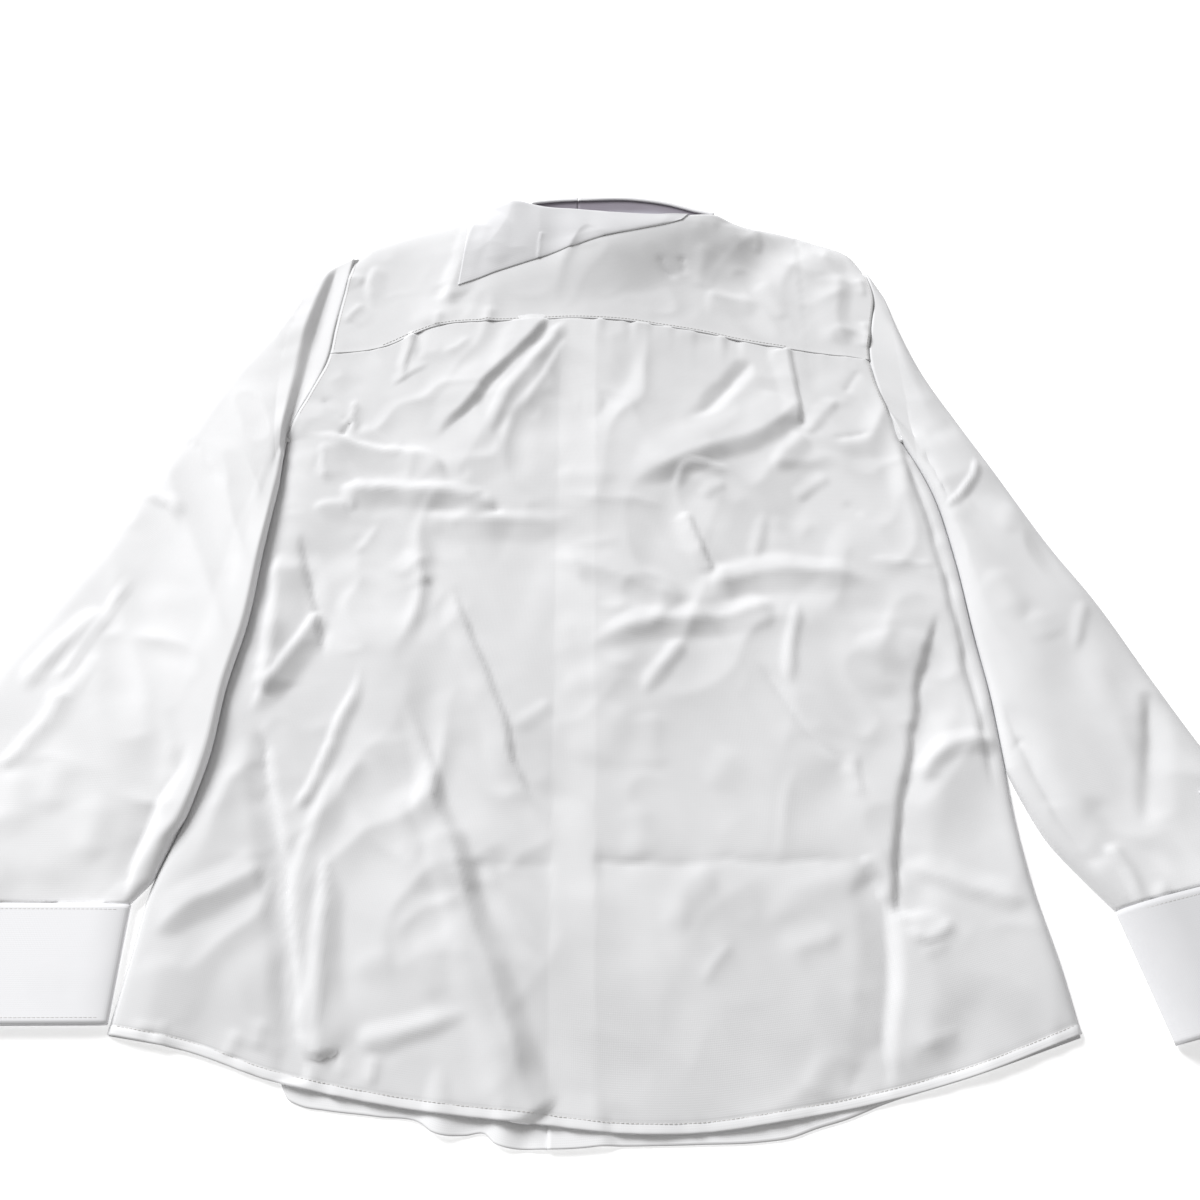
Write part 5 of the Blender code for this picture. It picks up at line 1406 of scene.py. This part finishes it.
@dataclass
class Sleeve(SidePiece):
    """A sleeve: a flattened tube from its cuff to its armhole, lying beside the body."""

    rings: int = 170
    top_columns: int = 60
    base_columns: int = 24
    turn_rows: int = 26
    turned_in: float = 0.004
    below_back: float = 0.0048
    overhang: float = 0.0038

    def ring_rows(self, count: int) -> Array:
        """The sleeve's rings from its cuff to just short of its armhole, clear of the body beside them.

        Args:
            count: how many rings there are

        Returns:
            A row of each ring's numbers, as Ring.row gives them.
        """
        lay = self.layout
        rings = smooth_curve([ring.row() for ring in SLEEVE_RINGS[self.side]], even(count - 1))
        if self.side is Side.LEFT:
            limit = lay.body_edge(rings[:, 3], Side.LEFT) - lay.beside
            rings[:, 2] = np.where(rings[:, 3] > -0.09, limit, np.minimum(rings[:, 2], limit))
        else:
            rings[:, 0] = np.maximum(rings[:, 0], lay.body_edge(rings[:, 1], Side.RIGHT) + lay.beside)
        return rings

    def around(self, ring: Array) -> Array:
        """Points once round a ring: across its upper layer towards +X, and back across its lower layer.

        Args:
            ring: the ring's numbers, as Ring.row gives them

        Returns:
            The points.
        """
        lay = self.layout
        spots = crowded(self.top_columns)
        upper = tube_layer(lay, ring, spots, True, lay.cloth)
        x, y = upper[:, 0], upper[:, 1]
        inside = step_up(np.minimum(spots, 1.0 - spots) / 0.16)
        soft = 0.0014 * uneven(x, y, (0.040, 0.070), -20.0, 21)
        soft = soft + 0.0008 * crumpled(x, y, (0.032, 0.060), 25.0, 22)
        upper[:, 2] += inside * (lift_of(SLEEVE_CREASES[self.side], x, y) + soft)
        upper[:, 2] = np.maximum(upper[:, 2], lay.cloth + lay.roll + lay.hollow)
        if self.side is Side.LEFT:
            near = step_up(1.0 - (1.0 - spots) * width_of(ring) / 0.014) * step_up((0.0090 - ring[6]) / 0.004)
            upper[:, 0] += self.overhang * near * step_up((upper[:, 2] - 0.0055) / 0.0030)
        lower = tube_layer(lay, ring, 1.0 - crowded(self.base_columns), False, lay.cloth)
        return np.vstack((upper, lower))

    def into_cuff(self, row: Array) -> list[Array]:
        """The sleeve's end inside the cuff, as rows from its tip to the seam.

        Args:
            row: points of the sleeve's first ring

        Returns:
            The rows of points.
        """
        lay = self.layout
        ring = np.array(CUFF_RINGS[self.side][-1].row())
        spots = crowded(self.top_columns)
        inside = tube_layer(lay, ring, spots, True, lay.fused)[:, 2] - lay.cloth - lay.air
        first = row.copy()
        count = self.top_columns + 1
        first[:count, 2] = np.minimum(first[:count, 2], inside)
        first[:, 2] = np.maximum(first[:, 2], lay.fused + lay.cloth + lay.air)
        tip = first.copy()
        across = (ring[2:4] - ring[0:2]) / np.linalg.norm(ring[2:4] - ring[0:2])
        tip[:, :2] += self.turned_in * np.array((across[1], -across[0]))
        return [tip, first]

    def grid(self) -> Array:
        """Points of the sleeve's inside, ring by ring from the cuff to the armhole.

        Returns:
            The points by row and column.
        """
        lay = self.layout
        rows = [self.around(ring) for ring in self.ring_rows(self.rings)]
        rows = self.into_cuff(rows[0]) + rows
        last = rows[-1]
        spots = np.concatenate((crowded(self.top_columns), 1.0 - crowded(self.base_columns)))
        along = 1.0 - spots if self.side is Side.LEFT else spots
        seam = smooth_curve(lay.armhole(self.side), along)
        seam[:, 0] += self.pick(-0.8, 0.8) * lay.beside
        for share in even(self.turn_rows)[1:]:
            row = last.copy()
            row[:, :2] += share * (seam - last[:, :2])
            fall = share
            if self.side is Side.LEFT:
                fall = 1.10 * step_up((share - 0.30) / 0.26) - 0.10 * step_up((share - 0.60) / 0.40)
            row[:, 2] = np.minimum(last[:, 2], last[:, 2] + fall * (0.0070 - last[:, 2]))
            rows.append(row)
        count = self.top_columns + 1
        for share in (0.0, 1.0):
            row = rows[-1 if share == 0.0 else -2].copy()
            row[:count, 0] += share * self.pick(1.0, -1.0) * self.turned_in
            row[:count, 2] = np.minimum(row[:count, 2], self.below_back)
            rows.append(row)
        return np.array(rows)

    def build(self) -> None:
        """The sleeve as a tube of cloth."""
        lay = self.layout
        grid = self.grid()
        # Painted light: the left sleeve is lightened like cloth lit from the left; the right sleeve keeps the
        # plain tone.
        tone_with_painted_light = np.full(grid.shape[:2], self.pick(0.85, ON_CLOTH))
        piece = shell("sleeve_" + self.side.value, "poplin", grid, lay.cloth, self.finish, lay, closed=True,
                      layers_and_painted_light=tone_with_painted_light)
        self.pick(0.141, 0.093)


@dataclass
class Cuff(SidePiece):
    """A cuff: an interlined band round the sleeve's end, its ends lapped on the upper side."""

    rows: int = 26
    lap: float = 0.016
    split: float = 0.16

    def lapped(self, ring: Array, split: float) -> Array:
        """A ring of the cuff, from its raised upper end once round to the end that lies under the first.

        Args:
            ring: the ring's numbers, as Ring.row gives them
            split: where its ends are lapped, from 0 to 1 across its upper side

        Returns:
            The points.
        """
        lay = self.layout
        start = split - 0.5 * self.lap / width_of(ring)
        stop = split + 0.5 * self.lap / width_of(ring)
        run = even(30)
        over = start + (1.0 - start) * crowded(44)
        first = tube_layer(lay, ring, over, True, lay.fused)
        first[:, 2] += (lay.fused + 2 * lay.air) * step_up(1.0 - (over - stop - 0.03) / 0.10)
        lower = tube_layer(lay, ring, 1.0 - crowded(24), False, lay.fused)
        second = tube_layer(lay, ring, stop * run**1.5, True, lay.fused)
        return np.vstack((first, lower, second))

    def build(self) -> None:
        """The cuff as a band of cloth."""
        lay = self.layout
        split = self.pick(self.split, 1.0 - self.split)
        rings = smooth_curve([ring.row() for ring in CUFF_RINGS[self.side]], even(self.rows))
        grid = np.array([self.lapped(ring, split) for ring in rings])
        # Painted light and shade: the left cuff is lightened as painted light and the right cuff darkened as
        # painted shade.
        tone_with_painted_light = np.full(grid.shape[:2], self.pick(1.0, 0.0))
        piece = shell("cuff_" + self.side.value, "fused_poplin", grid, lay.fused, self.finish, lay,
                      layers_and_painted_light=tone_with_painted_light)


@dataclass
class SleevePlacket(SidePiece):
    """The strip on a sleeve's slit, from the cuff to its pointed end."""

    sleeve: Sleeve
    length: float = 0.062
    width: float = 0.020
    clear: float = 0.0010
    split: float = 0.16

    def build(self) -> None:
        """The strip as a piece of cloth on the sleeve."""
        lay = self.layout
        split = self.pick(self.split, 1.0 - self.split)
        rings = self.sleeve.ring_rows(self.sleeve.rings)
        start = rings[0]
        rows = []
        for ring in rings:
            middle = tube_layer(lay, ring, np.array([split]), True, lay.cloth)[0]
            away = math.hypot(middle[0] - start[0] - split * (start[2] - start[0]),
                              middle[1] - start[1] - split * (start[3] - start[1]))
            if away > self.length:
                break
            places = split + self.width / width_of(ring) * (even(8) - 0.5)
            columns = self.sleeve.top_columns
            upper = self.sleeve.around(ring)[: columns + 1]
            row = np.column_stack([np.interp(places, crowded(columns), line) for line in upper.T])
            row[:, 2] += lay.cloth + self.clear
            rows.append(row)
        name = self.side.value
        piece = shell("sleeve_placket_" + name, "poplin", np.array(rows), lay.cloth, self.finish, lay)


# ---------------------------------------------------------------------------------------------------
# The collar


@dataclass
class Collar(CutPiece):
    """The collar: its stand round the neck, and its leaf folded over the stand, at the back and in front."""

    # The stand's finish: a darker mauve-grey poplin that is painted shade for the dark inside of the collar.
    inside: bpy.types.Material
    leaf_depth: float = 0.046
    leaf_point: float = 0.030
    leaf_lift: float = 0.0016
    leaf_cloth: float = 0.0007
    stand_top: tuple[tuple[float, float, float], ...] = mm(
        (-20, 392.2, 10.5), (-42, 390, 11), (-60, 385, 13), (-66.5, 377.5, 17), (-50, 365.5, 21.5),
        (0, 359, 22.5), (60, 358.8, 21.5), (93, 361.5, 18.5), (108, 367, 14), (85, 378, 11),
        (60, 387.2, 10.5), (30, 392.5, 10.5), (-20, 392.2, 10.5),
    )
    stand_foot: tuple[tuple[float, float, float], ...] = mm(
        (-20, 360, 4.8), (-42, 362, 4.8), (-60, 366, 5), (-62.5, 364, 6), (-48, 355, 8.5), (0, 349, 9.5),
        (60, 348, 9), (90, 352, 7.5), (99, 359, 6), (82, 364, 5), (60, 362, 4.8), (30, 360, 4.8),
        (-20, 360, 4.8),
    )

    def build_stand(self) -> None:
        """The stand, a band once round the neck whose ends meet at the front's middle."""
        lay = self.layout
        top = smooth_curve(self.stand_top, even(160))
        foot = smooth_curve(self.stand_foot, even(160))
        grid = np.array([foot + place * (top - foot) for place in even(24)])
        # A lighter patch near the front's middle, within the stand's painted shade.
        middle = bump((grid[..., 0] - 0.030) / 0.030) * bump((grid[..., 1] - 0.3765) / 0.0045)
        piece = shell("collar_stand", "fused_poplin", grid, lay.fused, self.inside, lay, layers_and_painted_light=0.9 * middle)

    def build_leaf_back(self) -> None:
        """The leaf where it lies on the yoke, from its lower edge to the fold over the stand."""
        lay = self.layout
        across, up = even(150), dense_ends(60, [0.003, 0.008], [])
        bottom = smooth_curve(lay.leaf_edge, across)
        top = smooth_curve(lay.leaf_fold, across)
        left, right = straight(bottom[0], top[0], up), straight(bottom[-1], top[-1], up)
        plan = coons(bottom, top, left, right, across, up)
        x, y = plan[..., 0], plan[..., 1]
        ends = step_up(across / 0.10)[None, :] * step_up((1.0 - across) / 0.10)[None, :]
        height = lay.draped_under(x, y, YOKE_CREASES) + lay.cloth + 0.4 * lay.air
        height += self.leaf_lift * ends * round_up(up / 0.7)[:, None] + lift_of(LEAF_CREASES, x, y)
        grid = np.dstack((plan, height))
        piece = shell("collar_leaf_back", "fused_poplin", grid, self.leaf_cloth, self.finish, lay)

    def build_leaf_front(self, side: Side) -> None:
        """Half of the leaf at the front: over the stand, and under the front to its point.

        Args:
            side: which half it is
        """
        lay = self.layout
        far_rim = smooth_curve(self.stand_top, even(1600))
        if side is Side.LEFT:
            rim = far_rim[: np.argmin(far_rim[:, 0])]
            rim = rim[(rim[:, 0] < lay.placket_x - 0.0015) & (rim[:, 1] > 0.383)]
        else:
            rim = far_rim[np.argmax(far_rim[:, 0]):]
            rim = rim[(rim[:, 0] > lay.placket_x - 0.0014) & (rim[:, 1] > 0.371)]
        rim = rim[np.linspace(0, len(rim) - 1, 49).round().astype(int)]
        to_middle = np.abs(rim[:, 0] - lay.placket_x)
        depth = np.interp(to_middle, (0.0, 0.034, 0.048, 0.130),
                          (0.010, self.leaf_depth + self.leaf_point, 0.060, self.leaf_depth))
        stations = []
        for back in (1.0, 0.66, 0.33, 0.08):
            flat = np.full(len(rim), lay.fused)
            stations.append(np.column_stack((rim[:, 0], rim[:, 1] + 0.0015 - back * depth, flat)))
        for out, rise in ((0.0030, 0.22), (0.0040, 0.60), (0.0028, 0.97), (0.0012, 1.02), (-0.0008, 1.02)):
            height = lay.fused + rise * (rim[:, 2] + 0.0003 - lay.fused)
            stations.append(np.column_stack((rim[:, 0], rim[:, 1] + out, height)))
        columns = [smooth_curve(np.array(line), even(30)) for line in zip(*stations)]
        grid = np.array(columns).transpose(1, 0, 2)
        grid[..., 2] = np.maximum(grid[..., 2], lay.fused)
        node = "collar_leaf_front_" + side.value
        piece = shell(node, "fused_poplin", grid, lay.cloth, self.finish, lay)


# ---------------------------------------------------------------------------------------------------
# Buttons


@dataclass
class Buttons:
    """The shirt's buttons: pearl discs with a rim, and crossed thread where their holes are."""

    pearl: bpy.types.Material
    thread: bpy.types.Material
    radius: float = 0.0057
    thick: float = 0.0024
    names: tuple[str, ...] = (*(f"front_{number + 1}" for number in range(7)), "collar", "cuff_left",
                              "cuff_right", "sleeve_left", "sleeve_right")

    def disc(self) -> bmesh.types.BMesh:
        """A button at the origin with its face up, turned from its profile.

        Returns:
            The form.
        """
        form = bmesh.new()
        top = self.thick
        profile = (
            (0.0, top - 0.0006), (0.52 * self.radius, top - 0.0006), (0.66 * self.radius, top - 0.0005),
            (0.76 * self.radius, top - 0.0001), (0.86 * self.radius, top), (0.95 * self.radius, top - 0.0003),
            (self.radius, top - 0.0009), (0.97 * self.radius, 0.0005), (0.88 * self.radius, 0.0), (0.0, 0.0),
        )
        line = [form.verts.new((radius, 0.0, z)) for radius, z in profile]
        edges = [form.edges.new(pair) for pair in zip(line, line[1:])]
        bmesh.ops.spin(form, geom=line + edges, cent=(0, 0, 0), axis=(0, 0, 1), angle=math.tau, steps=32,
                       use_merge=True)
        bmesh.ops.remove_doubles(form, verts=form.verts[:], dist=0.00001)
        bmesh.ops.recalc_face_normals(form, faces=form.faces[:])
        return form

    def thread_cross(self) -> bmesh.types.BMesh:
        """Two crossed bars of thread, where a button's four holes are.

        Returns:
            The form.
        """
        form = bmesh.new()
        for turn in (45.0, 135.0):
            place = Matrix.Translation((0, 0, self.thick - 0.0005))
            place = place @ Matrix.Rotation(math.radians(turn), 4, "Z") @ Matrix.Rotation(math.pi / 2, 4, "Y")
            bmesh.ops.create_cone(form, cap_ends=True, segments=8, radius1=0.00035, radius2=0.00035,
                                  depth=0.0034, matrix=place)
        return form

    def build(self) -> None:
        """Every button, in the place of its solid."""
        for name in self.names:
            node = "button_" + name
            low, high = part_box(node)
            place = Matrix.Translation(((low.x + high.x) / 2, (low.y + high.y) / 2, low.z))
            if not name.startswith(("cuff", "sleeve")):
                place = place @ Matrix.Translation((0, 0, self.thick)) @ Matrix.Rotation(math.pi, 4, "X")
            disc, cross = self.disc(), self.thread_cross()
            for form in (disc, cross):
                bmesh.ops.transform(form, matrix=place, verts=form.verts[:])
            settle(make_object(node + "_pearl", disc, self.pearl), "pearl_plastic", node)
            settle(make_object(node + "_thread", cross, self.thread), "poplin")


# ---------------------------------------------------------------------------------------------------
# Stitches


@dataclass
class Stitches(CutPiece):
    """Rows of stitches along the hem, the yoke's seam, the cuffs and the armholes."""

    pitch: float = 0.0030
    length: float = 0.0021
    thread: float = 0.00016
    off_seam: float = 0.0022

    def row(self, form: bmesh.types.BMesh, points: Array) -> None:
        """Add a row of stitches that follows points on the cloth's top.

        Args:
            form: the form that they are added to
            points: points along the row
        """
        steps = np.linalg.norm(np.diff(points, axis=0), axis=1)
        reach = np.concatenate(([0.0], np.cumsum(steps)))
        for start in np.arange(0.5 * self.pitch, reach[-1] - self.length, self.pitch):
            ends = [np.array([np.interp(at, reach, points[:, axis]) for axis in range(3)])
                    for at in (start, start + self.length)]
            turn = Vector(ends[1] - ends[0]).to_track_quat("Z", "Y").to_matrix().to_4x4()
            place = Matrix.Translation(Vector((ends[0] + ends[1]) / 2)) @ turn
            bmesh.ops.create_cone(form, cap_ends=True, segments=5, radius1=self.thread, radius2=self.thread,
                                  depth=self.length, matrix=place)

    def on_back(self, plan: Array, under: Callable[[Array, Array], Array]) -> Array:
        """Plan points set on the cloth's top.

        Args:
            plan: plan points
            under: the cloth's underside at x and y

        Returns:
            The points, moved to the middle.
        """
        lay = self.layout
        height = under(plan[:, 0], plan[:, 1]) + lay.cloth
        return lay.centred(np.column_stack((plan, height)))

    def build(self) -> None:
        """Every row as one piece."""
        lay = self.layout
        form = bmesh.new()
        across = even(300)
        hem = lay.hem_line(lay.back_hem, lay.back_hem[0][0] + 0.004, lay.back_hem[-1][0] - 0.004, across)
        hem[:, 1] += Back.hem_width
        self.row(form, self.on_back(hem, lambda x, y: lay.draped_under(x, y, BACK_CREASES)))
        seam = smooth_curve(lay.yoke_seam, across)
        seam[:, 1] += self.off_seam
        self.row(form, self.on_back(seam, lambda x, y: lay.draped_under(x, y, YOKE_CREASES) + 0.0003))
        for side in Side:
            places = np.linspace(0.34, 0.97, 200) if side is Side.LEFT else np.linspace(0.03, 0.66, 200)
            for along in (0.05, 0.95):
                ring = smooth_curve([band.row() for band in CUFF_RINGS[side]], [along])[0]
                line = tube_layer(lay, ring, places, True, lay.fused)
                line[:, 2] += lay.fused
                self.row(form, lay.centred(line))
            armhole = smooth_curve(lay.armhole(side), np.linspace(0.12, 0.97, 200))
            armhole[:, 0] += self.off_seam if side is Side.LEFT else -self.off_seam
            all_round = smooth_curve(lay.armhole(side), even(200))
            on_yoke = armhole[:, 1] > np.interp(lay.yoke_end, even(200), all_round[:, 1])
            for part, creases in ((armhole[~on_yoke], BACK_CREASES), (armhole[on_yoke], YOKE_CREASES)):
                self.row(form, self.on_back(part, lambda x, y, c=creases: lay.draped_under(x, y, c)))
        settle(make_object("stitches", form, self.finish), "poplin")


# ---------------------------------------------------------------------------------------------------
# The studio


@dataclass
class Studio:
    """A pale floor, soft light from the far left, and the camera at the hem's side."""

    camera_place: tuple[float, float, float] = (-0.0046, -0.4405, 0.8145)
    camera_tilt: float = 27.6
    floor_size: float = 8.0
    key_place: tuple[float, float, float] = (-5.2, 5.8, 5.2)
    key_size: float = 4.4
    key_power: float = 1130.0
    sky: float = 0.37

    def build(self) -> None:
        """The floor, the lights, the world and the camera."""
        self.build_floor()
        self.build_light()
        self.build_camera()

    def build_floor(self) -> None:
        """A plain floor that the shirt lies on."""
        form = bmesh.new()
        bmesh.ops.create_grid(form, x_segments=2, y_segments=2, size=self.floor_size / 2,
                              matrix=Matrix.Translation((0, 0, -0.0002)))
        make_object("floor", form, PAPER.build())

    def build_light(self) -> None:
        """A broad key light far behind on the left, and an even sky."""
        lamp = bpy.data.lights.new("key", "AREA")
        lamp.shape = "SQUARE"
        lamp.size = self.key_size
        lamp.energy = self.key_power
        lamp.color = (0.985, 0.99, 1.0)
        key = bpy.data.objects.new("key", lamp)
        key.location = self.key_place
        key.rotation_euler = (-Vector(self.key_place)).to_track_quat("-Z", "Y").to_euler()
        bpy.context.scene.collection.objects.link(key)
        world = bpy.data.worlds.new("studio_sky")
        world.use_nodes = True
        sky = world.node_tree.nodes["Background"]
        sky.inputs["Color"].default_value = (1.0, 0.992, 0.98, 1.0)
        sky.inputs["Strength"].default_value = self.sky
        bpy.context.scene.world = world
        bpy.context.scene.view_settings.view_transform = "Standard"

    def build_camera(self) -> None:
        """The camera: its image is as wide as its lens is long, so a square image has f = its side."""
        lens = bpy.data.cameras.new("camera")
        lens.lens = 36.0
        lens.sensor_width = 36.0
        camera = bpy.data.objects.new("camera", lens)
        camera.location = self.camera_place
        camera.rotation_euler = (math.radians(self.camera_tilt), 0.0, 0.0)
        bpy.context.scene.collection.objects.link(camera)
        bpy.context.scene.camera = camera


def main() -> None:
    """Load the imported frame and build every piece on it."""
    logging.basicConfig(level=logging.INFO, format="%(name)s: %(message)s")
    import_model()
    layout = Layout()
    Studio().build()
    cloth = Poplin().build()
    fused = Poplin("fused_poplin", "#D6D6D8", "#F1F1F3").build()
    # The stand's finish is painted shade: mauve-grey for the shaded inside of the collar.
    shade_painted_stand = Poplin("stand_poplin_painted_shade", "#97919B", "#D9D8E2").build()
    # The thread is tinted darker as painted shade of its needle holes.
    thread = THREAD_PAINTED_SHADE.build()
    Back(layout, cloth).build()
    Yoke(layout, cloth).build()
    Placket(layout, cloth).build()
    for side in Side:
        Front(layout, cloth, side).build()
        sleeve = Sleeve(layout, cloth, side)
        sleeve.build()
        Cuff(layout, fused, side).build()
        SleevePlacket(layout, cloth, side, sleeve).build()
    collar = Collar(layout, fused, shade_painted_stand)
    collar.build_stand()
    collar.build_leaf_back()
    for side in Side:
        collar.build_leaf_front(side)
    Buttons(PEARL.build(), thread).build()
    Stitches(layout, thread).build()


if __name__ == "__main__":
    main()
